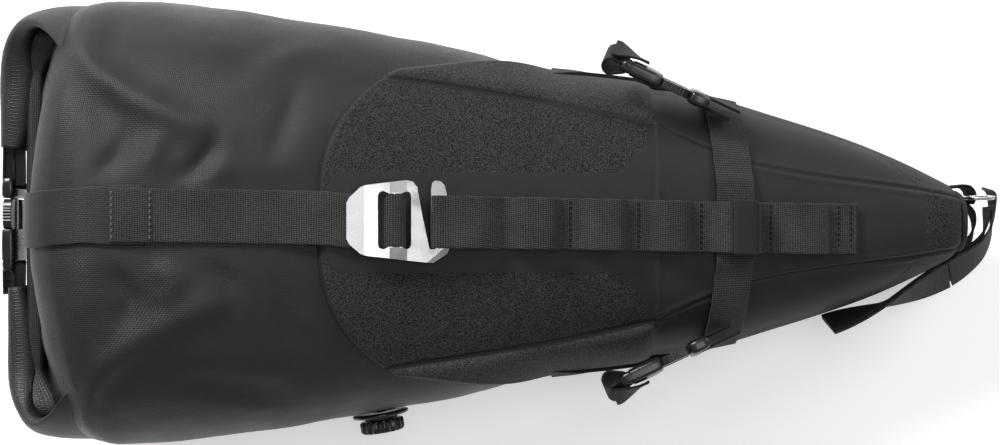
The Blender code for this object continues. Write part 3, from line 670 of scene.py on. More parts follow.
def fold_lift(p, turn):
    """How far the filled cloth stands out from the plain skin at each point."""
    x, y, z = p[..., 0], p[..., 1], p[..., 2]
    lift = 0.9 * ripple(p, 52, 2.0) + 0.5 * ripple(p, 19, 5.0) + 0.12 * ripple(p, 8, 3.0)
    face = step(70, 105, z)
    for knots, width, height in FOLDS:
        gone, at = line_distance(x, y, knots)
        swell = np.sin(math.pi * np.clip(at * 0.9 + 0.08, 0, 1))
        lift = lift + height * hump(gone, 0, width) * swell * face
    band = step(26, 14, np.abs(y - 2)) * face * step(-60, -90, x)
    lift = lift * (1 - 0.85 * band) - 0.35 * band
    side = step(90, 60, z) * step(12, 30, z)
    lift = lift + side * 0.7 * np.sin(x * 0.05 + z * 0.03) * step(-200, -150, x)
    under = under_harness(x, turn)
    return lift * (1 - under) - 0.15 * under


def rim_pull(y):
    """How far the rear rim stands ahead of its middle towards each corner."""
    return np.where(y > 0, 0.0135, 0.0178) * np.minimum(np.abs(y), 88) ** 1.5


def build_bag():
    rows, cols, wall = 236, 312, 20
    t = np.linspace(0, 1, rows)
    x = TAIL_X + (NOSE_X - TAIL_X) * (0.4 * t + 0.6 * (0.5 - 0.5 * np.cos(math.pi * t)))
    turn = np.linspace(-math.pi, math.pi, cols, endpoint=False)
    x, turn = np.meshgrid(x, turn, indexing="ij")
    p = on_skin(x, turn)
    p = p + skin_normal(x, turn) * fold_lift(p, turn)[..., None]
    p[..., 0] += rim_pull(p[..., 1]) * step(-172, TAIL_X, x)
    rim, back, front = p[0], [], []
    for k in range(1, wall + 1):
        s = k / wall
        ring = rim.copy()
        ring[:, 0] = TAIL_X + (rim[:, 0] - TAIL_X) * (1 - math.sin(s * math.pi / 2)) - 2.8 * s**3
        ring[:, 1] = rim[:, 1] + (np.clip(rim[:, 1] * 0.94, -87, 87) - rim[:, 1]) * s**1.3
        ring[:, 2] = rim[:, 2] + (ROLL_Z + (rim[:, 2] - RIM_MIDDLE) * 0.08 - rim[:, 2]) * s**1.1
        wave = np.sin(rim[:, 1] * 0.16 + np.sign(rim[:, 2] - RIM_MIDDLE))
        ring[:, 0] += 1.1 * wave * math.sin(math.pi * s) ** 2
        back.append(ring)
    for k in (1, 2, 3):
        ring = p[-1].copy()
        ring[:, 1:] = (ring[:, 1:] - (0, NOSE_MIDDLE)) * (1 - 0.3 * k) + (0, NOSE_MIDDLE)
        ring[:, 0] += 0.12
        front.append(ring)
    p = np.concatenate([np.array(back)[::-1], p, np.array(front)])
    z = p[..., 2]
    p[..., 2] = 0.5 * (z + np.sqrt(z * z + 2.0))
    along = travelled(p)
    along = along - along[wall]
    along = np.concatenate([along, along[:, :1]], axis=1)
    round_it = lengths(on_skin(-120.0, turn[0])[None])[0]
    uv = np.stack([along, np.broadcast_to(round_it, along.shape)], -1)
    uv = np.concatenate([uv, uv[-1:]])
    bag = loft("bag_cloth", p, MATS["cloth"], uv=uv)
    ready(bag, "bag", "coated_fabric", "bag_body")


def build_roll_ends():
    for side, label, end, ahead, wide in (
            (1, "left", LEFT_END, 0.0, 20.5), (-1, "right", RIGHT_END, 2.2, 17.0)):
        # x, y, middle height, thickness, half height, how much of the flank's own round it keeps
        flank, roll = FLANK_MIDDLE, ROLL_Z
        knots = (
            (-184, 106.2, flank, 0.4, 55, 1.0), (-196, 105.2, flank, 1.4, 55, 1.0),
            (-206, 104.2, flank, 3.4, 54.5, 0.98), (-215, 102.0, 74, 6, 50, 0.85),
            (-223.5, 97.4, 75, 9.5, 40, 0.55), (-229.8, 90.0, 75.6, wide - 6.5, 29, 0.25),
            (-232.6, 80.5, roll, wide - 2, 22, 0.08), (-233.4, 68, roll, wide, 18.6, 0),
            (-235.0, end + 13, roll, wide - 3.6, 17.4, 0), (-236.9, end + 0.1, roll, wide - 8, 16.4, 0),
        )
        rows = curve_through([(x + ahead * step(-200, -236, x), *more) for x, *more in knots], 1.7)
        way = unit(np.gradient(rows[:, :2], axis=0))
        out = np.stack([way[:, 1], -way[:, 0]], -1)
        u, v = rounded_square(72, 3.4)
        thick, half, keep = rows[:, 3, None], rows[:, 4, None], rows[:, 5, None]
        reach = np.minimum(0.985, half * np.abs(v) / FLANK_HALF)
        curl = rows[:, 1, None] * (1 - (1 - reach**SQUARE) ** (1 / SQUARE)) * keep
        p = np.empty((len(rows), len(v), 3))
        p[..., :2] = rows[:, None, :2] + out[:, None] * (thick / 2 * u - curl)[..., None]
        p[..., 2] = rows[:, 2, None] + half * v
        loose = 0.45 * ripple(p, 21, 8.0 + side) * step(0, 4, thick)
        p[..., :2] += out[:, None] * (loose * np.sign(u))[..., None]
        p[..., 1] *= side
        wing = loft("roll_end_" + label + "_cloth", p, MATS["cloth"])
        mouth = Stand((CLOSURE_X + ahead, side * (end + 11), ROLL_Z), (1, 0, 0), (0, 0, 1))
        cut_with(wing, box_of(mouth, (-3.9, 3.9), (-26, 26), (-11.6, 11.6)))
        ready(wing, "bag", "coated_fabric", "roll_end_" + label)


def build_roll():
    """The rolled mouth behind the rear wall: a flattened roll with its free edge outside."""
    x0, x1 = ROLL_X
    middle, painted_side_shade = (x0 + x1) / 2, (x1 - x0) / 2
    u, v = rounded_square(80, 4)
    share = np.arange(80) / 80
    lip = 0.7 * step(0.15, 0.4, share) * step(0.62, 0.6, share)
    rings = []
    for y in np.linspace(-99, 99, 130):
        tuck = 1 - 0.6 * max(0.0, (abs(y) - 90) / 9) ** 2
        flare = float(step(70, 90, abs(y)))
        x = middle + 6.6 * flare + (painted_side_shade - 0.7 + lip + 6.6 * flare) * u * tuck
        z = ROLL_Z + (ROLL_HALF_HEIGHT - 0.8 + lip + 6 * flare) * v * (0.5 + 0.5 * tuck)
        rings.append(np.stack([x, np.full_like(x, y), z], -1))
    rings = np.array(rings)
    rings[..., 2] += 0.5 * ripple(rings, 30, 1.5)
    rings[..., 0] += 0.25 * ripple(rings, 16, 4.5)
    ready(loft("roll_bar_cloth", rings, MATS["cloth"]), "bag", "coated_fabric", "roll_bar")


# ---- moulded harness ----

def harness_grid(rows=330, cols=270):
    u, side = np.meshgrid(np.linspace(0, 1, rows), np.linspace(-1, 1, cols), indexing="ij")
    start = harness_start(side)
    x = start + (NOSE_X - 0.5 - start) * u
    wrap = np.radians(table(HARNESS_WRAP, x))
    return x, side * wrap, side, start, wrap


def build_harness():
    x, turn, side, start, wrap = harness_grid()
    base = on_skin(x, turn)
    y = base[..., 1]
    out_y = np.abs(y)
    arc = travelled(base, 1)
    to_side = np.minimum(arc, arc[:, -1:] - arc)
    to_start = (x - start) / np.sqrt(1 + (108 * np.abs(side) ** 2.2 / np.maximum(60, wrap * 85)) ** 2)
    edge = np.minimum(to_side, to_start)
    groove = table(GROOVE, x)
    crease = table(CREASE, x)
    on_top = step(100, 80, np.degrees(np.abs(turn)))
    gone = np.where(x < 74.3, out_y - groove, 60.0)
    ridge = step(0.2, 5.0, gone) * step(78, 66, x) * step(-58, -40, x)
    lift = 4.6 + 2.4 * ridge * step(0, 9, to_side)
    cut = hump(gone, 0.5, 0.9) * step(84, 70, x) * step(-66, -50, x) * on_top
    lip = hump(gone, -1.3, 0.8) * step(70, 50, x) * step(-66, -50, x) * on_top
    lift = lift - 1.7 * cut + 0.25 * lip
    past = np.where(x > 73.5, out_y - crease, -60.0)
    line = hump(past, 0.2, 0.75) * step(72, 80, x) * on_top
    lift = lift - 1.5 * line + 0.5 * hump(past, -2.0, 1.3) * step(72, 80, x) * on_top
    lift = lift - 0.8 * step(0.2, 3.2, past) * on_top
    # smooth middle: rounded at its rear end, as wide as the crease ahead of the panels
    nose_in = np.clip((-73 - x) / 8, 0, 1)
    spine = SPINE_HALF * (1 - nose_in**3) ** (1 / 3)
    share = np.clip((out_y - SPINE_HALF) / np.maximum(groove - SPINE_HALF, 1), 0, 1)
    panel_end = 52 + 22 * share**0.55 - 6 * step(0.8, 1.0, share)
    panel = step(-0.35, 0.35, out_y - spine) * step(0.4, -0.4, gone)
    panel = panel * step(0.4, -0.4, x - panel_end) * step(1.0, 1.8, edge)
    lift = lift - 0.22 * panel
    bound = table(((75, 63), (180, 60), (200, 40), (214, 12)), x)
    flank = step(0.3, 1.0, past) * step(-1.2, 1.2, np.degrees(np.abs(turn)) - bound)
    tip = step(206.4, 207.2, x) * step(-0.6, -1.4, past)
    band = step(0.9, 1.6, gone) * step(76, 72, x)
    grained = np.clip(panel + flank + tip + band * 0.85, 0, 1)
    pale = np.clip(band * 0.8 + flank * 0.55, 0, 1)
    rounded = np.clip(edge / 3.4, 0, 1)
    lift = 1.5 + (lift - 1.5) * np.sqrt(1 - (1 - rounded) ** 2.2)
    lift = lift + 0.10 * ripple(base, 23, 7.0)
    front = np.clip((NOSE_X - 0.5 - x) / 3.0, 0, 1)
    lift = 1.6 + (lift - 1.6) * np.sqrt(1 - (1 - front) ** 2)
    upper, under = skin(x, turn, lift), skin(x, turn, 0.55)
    uv = np.stack([travelled(base), arc - arc[:, -1:] / 2], -1)
    marks = {"grained": grained, "flank": pale}
    shell = sheet_solid("harness_mould", upper, under, MATS["mould"], uv, marks)
    ready(shell, "bag", "moulded_laminate", "harness_shell", "spine_panel", "grain_panel_left",
          "grain_panel_right",
          "edge_ridge_left", "edge_ridge_right", "flank_panel_left", "flank_panel_right", "nose_patch")

    ring = on_skin(NOSE_X, turns(120))
    middle, rings = ring.mean(axis=0), []
    for ahead, scale in ((0.5, 0.90), (0.5, 1.0), (0.9, 1.06), (2.2, 1.10), (3.6, 1.10), (4.7, 1.06),
                         (5.3, 0.98), (5.5, 0.9), (5.1, 0.82), (5.0, 0.6)):
        rings.append((ring - middle) * (0, scale, scale) + middle + (ahead, 0, 0))
    pad = loft("nose_pad_foam", rings, MATS["foam"])
    ready(pad, "bag", "pad_rubber", "nose_pad")


# ---- straps over the top ----

def webbing_y(x):
    return table(((-216, 0.9), (-183, 3.4), (-100, 2.4), (-48, 0.7)), x)


def ladder_y(x):
    return table(((-31, 0.3), (28, -0.6), (144, -2.7), (170, -2.9)), x)


def over_top(path, half, middle):
    """Stations of a strap lying along the top through (x, height of its centre) points."""
    x, lift = np.array(path, float).T
    spots = top(x, middle(x), lift)
    way = unit(np.gradient(spots, axis=0))
    return [(p, (0, 1, 0), np.cross(w, (0, 1, 0)), half) for p, w in zip(spots, way)]


def across_stitches(stations_x, middle, half, lift, count=8, long=1.9):
    """Rows of stitches across a strap, each stitch lying along it."""
    made = []
    for x in stations_x:
        for k in range(count):
            y = middle(x) + half * (2 * (k + 0.5) / count - 1)
            a, b = top(x, y - long / 2, lift), top(x, y + long / 2, lift)
            made.append((a, b, skin_normal(x, turn_at(x, y))))
    return made


def hook_stand():
    x, y = HOOK_AT
    ahead = on_skin(x + 12, 0.0) - on_skin(x - 12, 0.0)
    return Stand(top(x, y, HOOK_LIFT), ahead, skin_normal(x, 0.0))


def along_webbing(x, lift, half):
    """A strap station over the middle webbing's line."""
    return top(x, webbing_y(x), lift), (0, 1, 0), skin_normal(x, turn_at(x, webbing_y(x))), half


def build_top_straps():
    stations = [((TAIL_X - 1.4, 0.9, z), (0, 1, 0), (-1, 0, 0), 12.8) for z in (103, 110, 117)]
    for x in (-218.2, -215.5, -211, -205, -196, -188, -178, -168, -160):
        stations.append(along_webbing(x, 1.3, 12.8 if x < -180 else 13.4))
    strip = strap("compression_strip_cloth", MATS["cloth"], stations, 1.0, 2.0, sway=0.03)
    ready(strip, "bag", "coated_fabric", "compression_strip")

    stand = hook_stand()
    half = WEB_WIDE / 2 - 0.2
    path = ((-176, 2.6), (-168, 2.5), (-160, 2.4), (-154, 1.8), (-140, 1.3), (-120, 1.3), (-104, 1.5),
            (-95, 3.2), (-88, 5.6), (-80, 7.4))
    stations = [along_webbing(x, lift, half) for x, lift in path]
    inside = [(-23, -1.6), (-16, -1.25), (-11, -1.2), (-7.6, -0.7), (-5.6, 0.6), (-4.2, 2.1), (-2.8, 2.65),
              (-1, 2.8),
              (0.8, 2.65), (2.2, 2.0), (3.1, 0.6), (3.3, -0.8), (2.6, -2.4), (0.6, -3.3), (-4, -3.4),
              (-12, -3.4),
              (-20, -3.6)]
    stations += loop_stations(stand, inside, half, aside=0.1)
    webbing = strap("compression_webbing_woven", MATS["webbing"], stations, WEB_THICK, 1.3)
    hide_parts("compression_webbing")
    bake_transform(webbing)
    tacks = across_stitches((-174.9, -158.0), webbing_y, 11.4, 3.4)
    ready(thread("compression_stitches", MATS["thread"], tacks), "bag", "webbing")

    base = over_top([(-2 + 8.6 * i, 6.35) for i in range(21)], half - 0.2, ladder_y)
    ready(strap("ladder_base_woven", MATS["webbing"], base, 0.7, 2.0), "bag", "webbing", "ladder_base")
    path = [(-5, 8.2), (-16, 8.4), (-27, 8.6), (-31.5, 8.9), (-33.4, 9.8), (-34.0, 12), (-33.6, 14.4),
            (-31.9, 15.4),
            (-28.9, 15.6), (-21, 15.4), (-12, 14), (-5.4, 11), (-2.2, VALLEY + 1.4)]
    for first, last in LADDER_LOOPS:
        rise = ((-2.4, VALLEY), (1.2, VALLEY + 0.9), (3.8, CREST - 1.8), (6.8, CREST))
        path += [(first + x, lift) for x, lift in rise] + [((first + last) / 2, CREST + 0.5)]
        path += [(last - x, lift) for x, lift in reversed(rise)]
    path += [(164, VALLEY), (LADDER_END, VALLEY - 0.2)]
    stations = over_top(path, half - 0.2, ladder_y)
    loops = strap("ladder_loops_woven", MATS["webbing"], stations, WEB_THICK, 0.9)
    ready(loops, "bag", "webbing", "ladder_loops")
    lows = [(a[1] + b[0]) / 2 for a, b in zip(LADDER_LOOPS, LADDER_LOOPS[1:])] + [161.5, 167.5]
    tacks = across_stitches(lows, ladder_y, 11.0, VALLEY + 0.8, 9, 1.7)
    ready(thread("ladder_stitches", MATS["webbing"], tacks), "bag", "webbing")
    path = ((107.6, 1.0), (108.6, 1.9), (111, 2.1), (114, 2.1), (117.4, 2.0), (119.6, 1.6))
    path = [(x, CREST + lift) for x, lift in path]
    keeper = strap("keeper_tab", MATS["keeper"], over_top(path, half + 0.6, ladder_y), 1.0, 0.8)
    ready(keeper, "bag", "keeper_fabric", "keeper")

    s = np.linspace(-1, 1, 41)
    y = 55.0 * s
    x = CROSS_X - 5.6 * np.abs(s) ** 2.2
    lift = 6.7 + 1.6 * step(24, 19, np.abs(y))
    turn = turn_at(x, y)
    out, spots = skin_normal(x, turn), skin(x, turn, lift)
    wide = np.array((1.0, 0, 0)) - out[:, :1] * out
    stations = [(p, w, n, CROSS_WIDE / 2) for p, w, n in zip(spots, wide, out)]
    ready(strap("cross_strap_woven", MATS["webbing"], stations, 1.3, 1.2), "bag", "webbing", "cross_strap")


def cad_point(x, y, z):
    """A part point in the row frame, in metres."""
    return ((x - MIDDLE_X) * MM, y * MM, z * MM)


# ---- hook ----

HOOK_OUTLINE = (
    (-23.8, -8.2), (-23.8, 8.2), (-22.6, 10.6), (-17.6, 15.4), (-15.2, 16.3), (3.7, 18.7), (6.8, 18),
    (8.7, 15.5),
    (11.4, 1.0), (14.5, -13), (17.2, -13), (15.8, -9), (15.4, 14.2), (16.1, 17.6), (17.6, 18.6),
    (20.2, 18.2),
    (21.9, 16.4), (22.8, 12.0), (23.8, -13.2), (22.9, -15.1), (16.5, -19.2), (12, -19.0), (-14.6, -15.9),
    (-17.4, -15.1), (-22.4, -10.8),
)
HOOK_SLOT = (
    (-9.6, -10.9), (-9.6, 11.4), (-8.9, 13.0), (-7.4, 13.7), (-5.6, 13.2), (-4.6, 12.6), (1.6, 12.6),
    (2.6, 13.2),
    (4.2, 13.5), (5.5, 12.8), (5.9, 11.0), (5.9, -10.6), (5.3, -12.3), (3.8, -12.9), (2.4, -12.3),
    (1.6, -11.8),
    (-4.6, -11.8), (-5.8, -12.5), (-7.4, -12.9), (-9.0, -12.3),
)
HOOK_FACETS = (  # a point on its upper edge, which way it falls and how steeply, half width
    (-16.0, 0, 180, 11, 40), (-0.1, 12.9, 90, 13, 4.1), (-0.1, -12.1, -90, 13, 4.1),
    (19.0, -14.4, -50, 15, 9),
    (19.2, 9.0, 90, 9, 4.6),
)


def build_hook():
    stand = hook_stand()
    hook = plate_of("hook_forged", MATS["bright"], stand, HOOK_OUTLINE, 0, HOOK_THICK)
    hook.data.materials.append(MATS["blasted_and_shaded"])
    hole = plate_of("hole", MATS["bright"], stand, HOOK_SLOT, -1, 5)
    wedges = []
    for x, y, heading, fall, width in HOOK_FACETS:
        h, f = math.radians(heading), math.radians(fall)
        forward = np.array((math.cos(h) * math.cos(f), math.sin(h) * math.cos(f), -math.sin(f)))
        up = np.array((math.cos(h) * math.sin(f), math.sin(h) * math.sin(f), math.cos(f)))
        tilt = Stand(stand((x, y, HOOK_THICK)), stand.turned(forward), stand.turned(up))
        wedges.append(box_of(tilt, (0, 30), (-width, width), (0, 8)))
    cut_with(hook, hole, *wedges)
    lying = Stand(stand(HOOK_BAR), stand.y, stand.z)
    rod = body_of_sections("rod", MATS["bright"], lying, ((-15, 1.9, 1.0), (15, 1.9, 1.0)), 2.6, 20)
    cut_with(hook, rod, how="UNION")
    soften(hook, 0.42, 3, 9)
    bpy.context.view_layer.update()
    settle(hook)
    # the facets, which tilt by 9 to 15 degrees, take the blasted alloy: a matt finish, and a darker grey
    # that is painted shade for their tilt
    tilted = [0.955 < stand.z @ np.array(face.normal) < 0.991 and face.area > 1.5e-6
              for face in hook.data.polygons]
    hook.data.polygons.foreach_set("material_index", [int(found) for found in tilted])
    ready(hook, "hook_end", "forged_alloy", "hook")


# ---- buckles ----

def loop_stations(stand, points, half, closed=False, aside=0):
    """Strap stations from (along, through) points in the middle plane of a buckle or the hook."""
    spots = np.array(points, float)
    if closed:
        ways = np.roll(spots, -1, axis=0) - np.roll(spots, 1, axis=0)
    else:
        ways = np.gradient(spots, axis=0)
    return [(stand((u, aside, n)), stand.y, stand.turned((-w[1], 0, w[0])), half)
            for (u, n), w in zip(spots, unit(ways))]


def round_bar(centre, first, last):
    angles = np.radians(np.linspace(first, last, 11))
    return [(centre + BAR_ROUND * math.cos(a), BAR_ROUND * math.sin(a)) for a in angles]


def buckle_strap(name, body, stand, points):
    """Webbing that lies along a buckle and round its bar."""
    stations = loop_stations(stand, points, BUCKLE_STRAP / 2)
    ready(strap(name + "_woven", MATS["black_web"], stations, WEB_THICK, 1.0), body, "webbing", name)


def strap_gap(stand, slot, whole):
    """Cutters for a buckle's webbing: a slot right through it, and both faces cut back round its bar."""
    half = BUCKLE_STRAP / 2 + 0.4
    return [box_of(stand, x, (-half, half), z) for x, z in (
        (slot, (-9, 9)), (whole, (1.2, 9)), (whole, (-9, -1.2)))]


def finish_moulding(thing, body, name):
    thing.data.materials.clear()
    thing.data.materials.append(MATS["plastic"])
    ready(soften(thing, 0.25, 2, 40), body, "acetal", name)


def build_buckle(prefix, stand, bodies):
    """Male, female and release arms of a side-release buckle; bodies are theirs in that order."""
    plastic = MATS["plastic"]
    male = body_of_sections(prefix + "_male_moulded", plastic, stand, (
        (0, 11.2, 1.9), (0.25, 12.0, 2.7), (1.1, 12.5, 3.2), (3, 12.75, 3.55), (6, 12.8, 3.7),
        (8.2, 12.7, 3.6),
        (9.4, 12.1, 3.3), (9.9, 11.2, 2.8)))
    cut_with(male, *strap_gap(stand, (2.6, 5.4), (-1, 5.4)))
    prong = body_of_sections("prong", plastic, stand, (
        (8, 2.8, 1.6), (10, 2.9, 1.6), (33, 2.6, 1.55), (35, 2.3, 1.4), (35.9, 1.5, 0.9)), 5, 28)
    cut_with(male, prong, how="UNION")
    finish_moulding(male, bodies[0], prefix + "_male")

    female = body_of_sections(prefix + "_female_moulded", plastic, stand, (
        (25.0, 11.9, 2.9), (25.2, 12.4, 3.35), (26.2, 12.75, 3.6), (30, 12.8, 3.8), (35, 12.6, 3.85),
        (39.2, 12.4, 3.75),
        (40.2, 12.35, 3.7), (40.5, 12.0, 3.4), (40.9, 12.0, 3.4), (41.2, 12.3, 3.65), (43, 12.2, 3.5),
        (44.8, 11.9, 3.1),
        (45.5, 11.3, 2.5), (45.7, 10.6, 1.9)))
    low = BUCKLE_LONG - 5.4
    cut_with(female, box_of(stand, (24, 37.5), (-11, 11), (-2.3, 2.3)),
             *strap_gap(stand, (low, BUCKLE_LONG - 2.6), (low, BUCKLE_LONG + 1)),
             box_of(stand, (27.5, 34.0), (-4.2, 4.2), (3.55, 9)))
    finish_moulding(female, bodies[1], prefix + "_female")

    for side, label, body in ((1, "a", bodies[2]), (-1, "b", bodies[3])):
        outer = curve_through([(x, y, 0) for x, y in (
            (10.4, 11.2), (12.2, 12.7), (15, 13.6), (19, 13.9), (22.4, 13.5), (24.4, 12.3), (24.9, 10.2))],
            0.45)
        x, y = outer[:, :2].T
        y = y + 0.22 * np.cos(x * 2 * math.pi / 1.5) * step(13, 14, x) * step(22, 21, x)
        outline = [(10.4, 6.2), *zip(x.tolist(), y.tolist()), (32.4, 10.1), (34.4, 8.8), (34.4, 7.6),
                   (23, 7.4), (14, 7.2), (12.6, 6.2)]
        outline = [(x, side * y) for x, y in outline]
        arm = plate_of(prefix + "_arm_" + label + "_moulded", plastic, stand, outline, -2.05, 2.05)
        soften(arm, 0.55, 3, 50)
        ready(arm, body, "acetal", prefix + "_arm_" + label)


def build_closure():
    stand = Stand((CLOSURE_X, CLOSURE_TOP, ROLL_Z), (0, -1, 0), (-1, 0, 0))
    build_buckle("closure", stand, ("closure_plug", "bag", "closure_press_a", "closure_press_b"))
    reach = CLOSURE_TOP - LEFT_END - 4
    points = [(reach, -2.3), (-6, -2.5), *round_bar(BAR_IN, -90, 90), (-6, 2.5), (reach, 2.3)]
    buckle_strap("closure_strap_left", "closure_plug", stand, points)
    far = CLOSURE_TOP + RIGHT_END + 4
    bar = BUCKLE_LONG - BAR_IN
    points = [(far, 2.3), (bar + 6, 2.5), *round_bar(bar, 90, 270), (bar + 6, -2.5), (far, -2.3)]
    buckle_strap("closure_strap_right", "bag", stand, points)


def leaning(stations, stand, side, bar):
    """Turns a rail strap's free end about the buckle's length, so that its outer face looks up."""
    up, made = side * stand.y, []
    for point, _, normal, half in stations:
        gone = np.asarray(point) - stand.origin
        u, n = gone @ stand.x, gone @ stand.z
        lean = math.radians(RAIL_LEAN) * float(step(bar - 5, bar + 5, u))
        out = math.cos(lean) * stand.z + math.sin(lean) * up
        across = math.cos(lean) * up - math.sin(lean) * stand.z
        spot = stand.origin + u * stand.x + n * out
        flat = np.asarray(normal) @ stand.z, np.asarray(normal) @ stand.x
        made.append((spot, side * across, flat[0] * out + flat[1] * stand.x, half))
    return made


def build_rails():
    for side, label in ((1, "left"), (-1, "right")):
        stand = Stand((99.5, side * 57.2, 100.5), (-0.906, side * 0.42, 0),
                      (0.414, side * 0.892, 0.14))
        prefix = "rail_" + label
        socket = "rail_socket_" + label
        build_buckle(prefix, stand, ("bag", socket, prefix + "_press_a", prefix + "_press_b"))
        bar = BUCKLE_LONG - BAR_IN
        end = [(bar + 5.6 + 3.9 * math.cos(a), 3.9 * math.sin(a)) for a in np.radians(range(-90, 91, 18))]
        ring = round_bar(bar, 100, 260) + [(bar + 3.5, -3.2)] + end + [(bar + 3.5, 3.2)]
        half = BUCKLE_STRAP / 2
        loop = strap("rail_loop_" + label + "_woven", MATS["black_web"],
                     leaning(loop_stations(stand, ring, half, True), stand, side, bar), WEB_THICK, 1.0,
                     closed=True)
        ready(loop, socket, "webbing", "rail_loop_" + label)
        points = [(bar + 7.6, 5.8), (bar + 5, 6.1), (bar, 6.0), (bar - 6, 5.6), (bar - 10.5, 5.5)]
        tail = strap("rail_tail_" + label + "_woven", MATS["black_web"],
                     leaning(loop_stations(stand, points, half - 0.5), stand, side, bar), 1.2, 1.0)
        ready(tail, socket, "webbing", "rail_tail_" + label)
        points = [(-12, -2.55), (-6, -2.6), *round_bar(BAR_IN, -90, 90), (-6, 2.6), (-15, 2.55)]
        buckle_strap("rail_web_" + label, "bag", stand, points)
        stations = []
        for x in np.linspace(24, 86, 13):
            turn = side * np.radians(table(((24, 70), (60, 85), (90, 88)), x))
            around = unit(on_skin(x, turn + 0.01) - on_skin(x, turn - 0.01))
            lift = table(((24, 4.4), (40, 6.0), (74, 6.2), (86, 3.0)), x)
            stations.append((skin(x, turn, lift), around, skin_normal(x, turn), 9.0))
        anchor = strap("anchor_strap_" + label + "_woven", MATS["black_web"], stations, 4.4, 1.4)
        ready(anchor, "bag", "webbing", "anchor_strap_" + label)


# ---- seatpost strap ----

def upright(name, mat, plan, half, thick, lean=(0, 0), shift=0.0):
    """Strap on edge along a plan path, its upper edge leaning inwards by degrees that change along it."""
    rows = curve_through([(x, y, POST_Z) for x, y in plan], 2.5)
    way = unit(np.gradient(rows, axis=0))
    inward = np.stack([way[:, 1], -way[:, 0], np.zeros(len(way))], -1)
    angle = np.radians(lean[0] + (lean[1] - lean[0]) * step(0, 1, np.linspace(0, 1, len(rows))))[:, None]
    up = np.array((0, 0, 1.0))
    wide = np.cos(angle) * up + np.sin(angle) * inward
    out = -np.cos(angle) * inward + np.sin(angle) * up
    stations = [(p + n * shift, w, n, half) for p, w, n in zip(rows, wide, out)]
    return strap(name, mat, stations, thick, 1.2)


def build_post_strap():
    plan = ((247.5, 16.8), (249.8, 14.6), (250.2, 8), (249.4, -3.8), (244.5, -14), (236, -21.2),
            (228.6, -26))
    outer = upright("post_strap_woven", MATS["webbing"], plan, POST_HALF, 1.4, (6, 36))
    ready(outer, "post_loop", "webbing", "post_strap")
    plan = ((247.4, 8.0), (246.6, -3.2), (242.2, -12.2), (234.6, -19.2), (227.4, -23.9))
    inner = upright("post_lining_pile", MATS["loop"], plan, POST_HALF - 0.4, 1.3, (8, 36))
    ready(inner, "post_loop", "loop_tape", "post_lining")
    plan = ((227.9, -26.5), (213, -34.2), (192.7, -43.2), (167, -52.4))
    tail = upright("post_tail_woven", MATS["webbing"], plan, POST_HALF, 1.5, (36, -16))
    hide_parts("post_tail")
    lining = upright("post_tail_pile", MATS["loop"], plan, POST_HALF - 0.4, 1.2, (36, -16), -1.6)
    first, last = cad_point(226, -27.6, POST_Z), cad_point(214, -33.6, POST_Z)
    for piece in (tail, lining):
        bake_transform(piece)
    plan = ((235.6, 9.6), (239.4, 5.6), (240.8, -1), (239.2, -8), (235.6, -12.2))
    flap = upright("post_inner_pile", MATS["loop"], plan, POST_HALF - 1, 1.2, (4, 20))
    ready(flap, "bag", "loop_tape", "post_inner")
    plan = ((229.4, 17.8), (232, 18.6), (236.4, 18), (238.7, 15.2), (238.9, RING_Y), (237.8, 9.4))
    anchor = upright("ring_anchor_woven", MATS["black_web"], plan, POST_HALF - 1.5, 1.3)
    ready(anchor, "bag", "webbing", "ring_anchor")
    x0, x1 = RING_X[0] + 1.3, RING_X[1] - 1.3
    z0, z1, bend = POST_Z - 14.3, POST_Z + 14.3, 2.6
    path = []
    for cx, cz, first in ((x1 - bend, z1 - bend, 0), (x0 + bend, z1 - bend, 90),
                          (x0 + bend, z0 + bend, 180),
                          (x1 - bend, z0 + bend, 270)):
        for a in np.radians(np.linspace(first, first + 90, 9)):
            path.append((cx + bend * math.cos(a), RING_Y, cz + bend * math.sin(a)))
    path = curve_through(path, 1.0, True)
    way = unit(np.roll(path, -1, axis=0) - np.roll(path, 1, axis=0))
    a = turns(20)[:, None]
    side = np.array((0, 1.0, 0))
    rings = [p + 1.25 * (np.cos(a) * side + np.sin(a) * np.cross(w, side)) for p, w in zip(path, way)]
    ready(loft("post_ring_bar", rings, MATS["steel"], loop=True), "post_loop", "polished_steel",
          "post_ring")


# ---- valve ----

def build_valve():
    turn = -math.pi / 2
    stand = Stand(skin(VALVE_X, turn, 0.4), (0, 0, 1), skin_normal(VALVE_X, turn))
    base = ((3.2, 0.3), (13.4, 0.3), (14, 0.7), (14, 1.6), (13.6, 2.1), (12.6, 2.4), (9.4, 2.4),
            (9.1, 2.1), (8.7, 2.4),
            (6, 2.4), (6, 5.0), (5.7, 5.2), (6, 5.4), (6, 8.0), (5.6, 8.2), (3.5, 8.2), (3.2, 7.9))
    ready(turned_piece("valve_base_moulded", MATS["plastic"], stand, base), "bag", "acetal", "valve_base")
    cap = ((0.9, 8.6), (6.3, 8.6), (6.3, 4.1), (9.9, 4.1), (10.6, 4.4), (11, 5.0), (11, 8.8), (10.7, 9.5),
           (10.0, 10.1),
           (9.2, 10.2), (7.6, 10.2), (7.1, 9.8), (1.2, 9.8), (0.9, 9.6))
    ready(turned_piece("valve_cap_moulded", MATS["plastic"], stand, cap, 216, 18, 0.9, (4, 5, 6, 7)),
          "valve_knob",
          "acetal", "valve_cap")


# ---- what stays as the frame made it ----

def dress_frame_nodes():
    for name, mat in (("harness_stiffener", "board"), ("roll_batten", "board"), ("valve_seal", "seal")):
        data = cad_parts[name].data
        data.materials.clear()
        data.materials.append(MATS[mat])


# ---- studio ----

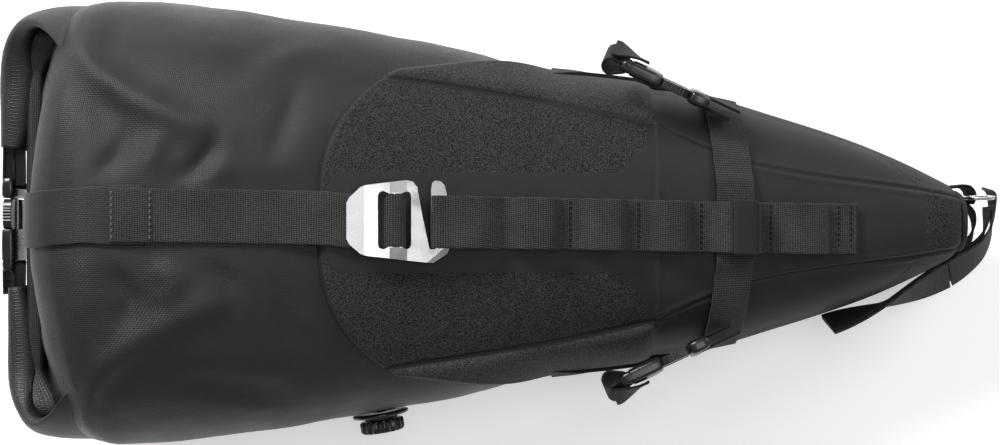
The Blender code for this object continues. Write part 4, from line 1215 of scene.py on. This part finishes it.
def area_light(name, place, target, size, power):
    data = bpy.data.lights.new(name, "AREA")
    data.shape = "RECTANGLE"
    data.size, data.size_y = size
    data.energy = power
    made = bpy.data.objects.new(name, data)
    made.location = place
    made.rotation_euler = (Vector(target) - Vector(place)).to_track_quat("-Z", "Y").to_euler()
    bpy.context.scene.collection.objects.link(made)


def build_studio():
    paper, tree, shader = material("pale_floor", 0.9)
    speck = noise_of(tree, 4.0, 2.0)
    pale = tint(tree, speck, 0.90, 0.93)
    surface(tree, shader, pale)
    tree.links.new(pale, shader.inputs["Emission Color"])
    shader.inputs["Emission Strength"].default_value = 0.42
    data = bpy.data.meshes.new("floor")
    data.from_pydata([(-4, -4, 0), (4, -4, 0), (4, 4, 0), (-4, 4, 0)], [], [(0, 1, 2, 3)])
    data.materials.append(paper)
    floor = bpy.data.objects.new("floor", data)
    bpy.context.scene.collection.objects.link(floor)

    world = bpy.data.worlds.new("soft_surround")
    world.use_nodes = True
    world.node_tree.nodes["Background"].inputs["Color"].default_value = (1, 1, 1, 1)
    world.node_tree.nodes["Background"].inputs["Strength"].default_value = 0.27
    bpy.context.scene.world = world
    area_light("key", (-0.66, 0.78, 0.86), (-0.05, 0, 0.08), (0.45, 0.35), 17)
    area_light("overhead", (0.25, 0.1, 1.9), (0.05, 0, 0), (0.9, 0.8), 8)
    area_light("rim", (0.9, 0.8, 0.7), (0.1, 0, 0.08), (0.5, 0.5), 4)

    camera = bpy.data.objects.new("camera", bpy.data.cameras.new("camera"))
    camera.data.lens = 63.5
    camera.data.sensor_width = 36.0
    camera.data.clip_start = 0.05
    camera.location = (-MIDDLE_X * MM, 0, CAMERA_HEIGHT)
    bpy.context.scene.collection.objects.link(camera)
    bpy.context.scene.camera = camera
    bpy.context.scene.view_settings.view_transform = "Standard"


build_bag()
build_roll()
build_roll_ends()
build_harness()
build_top_straps()
build_hook()
build_closure()
build_rails()
build_post_strap()
build_valve()
dress_frame_nodes()
build_studio()

bpy.context.view_layer.update()
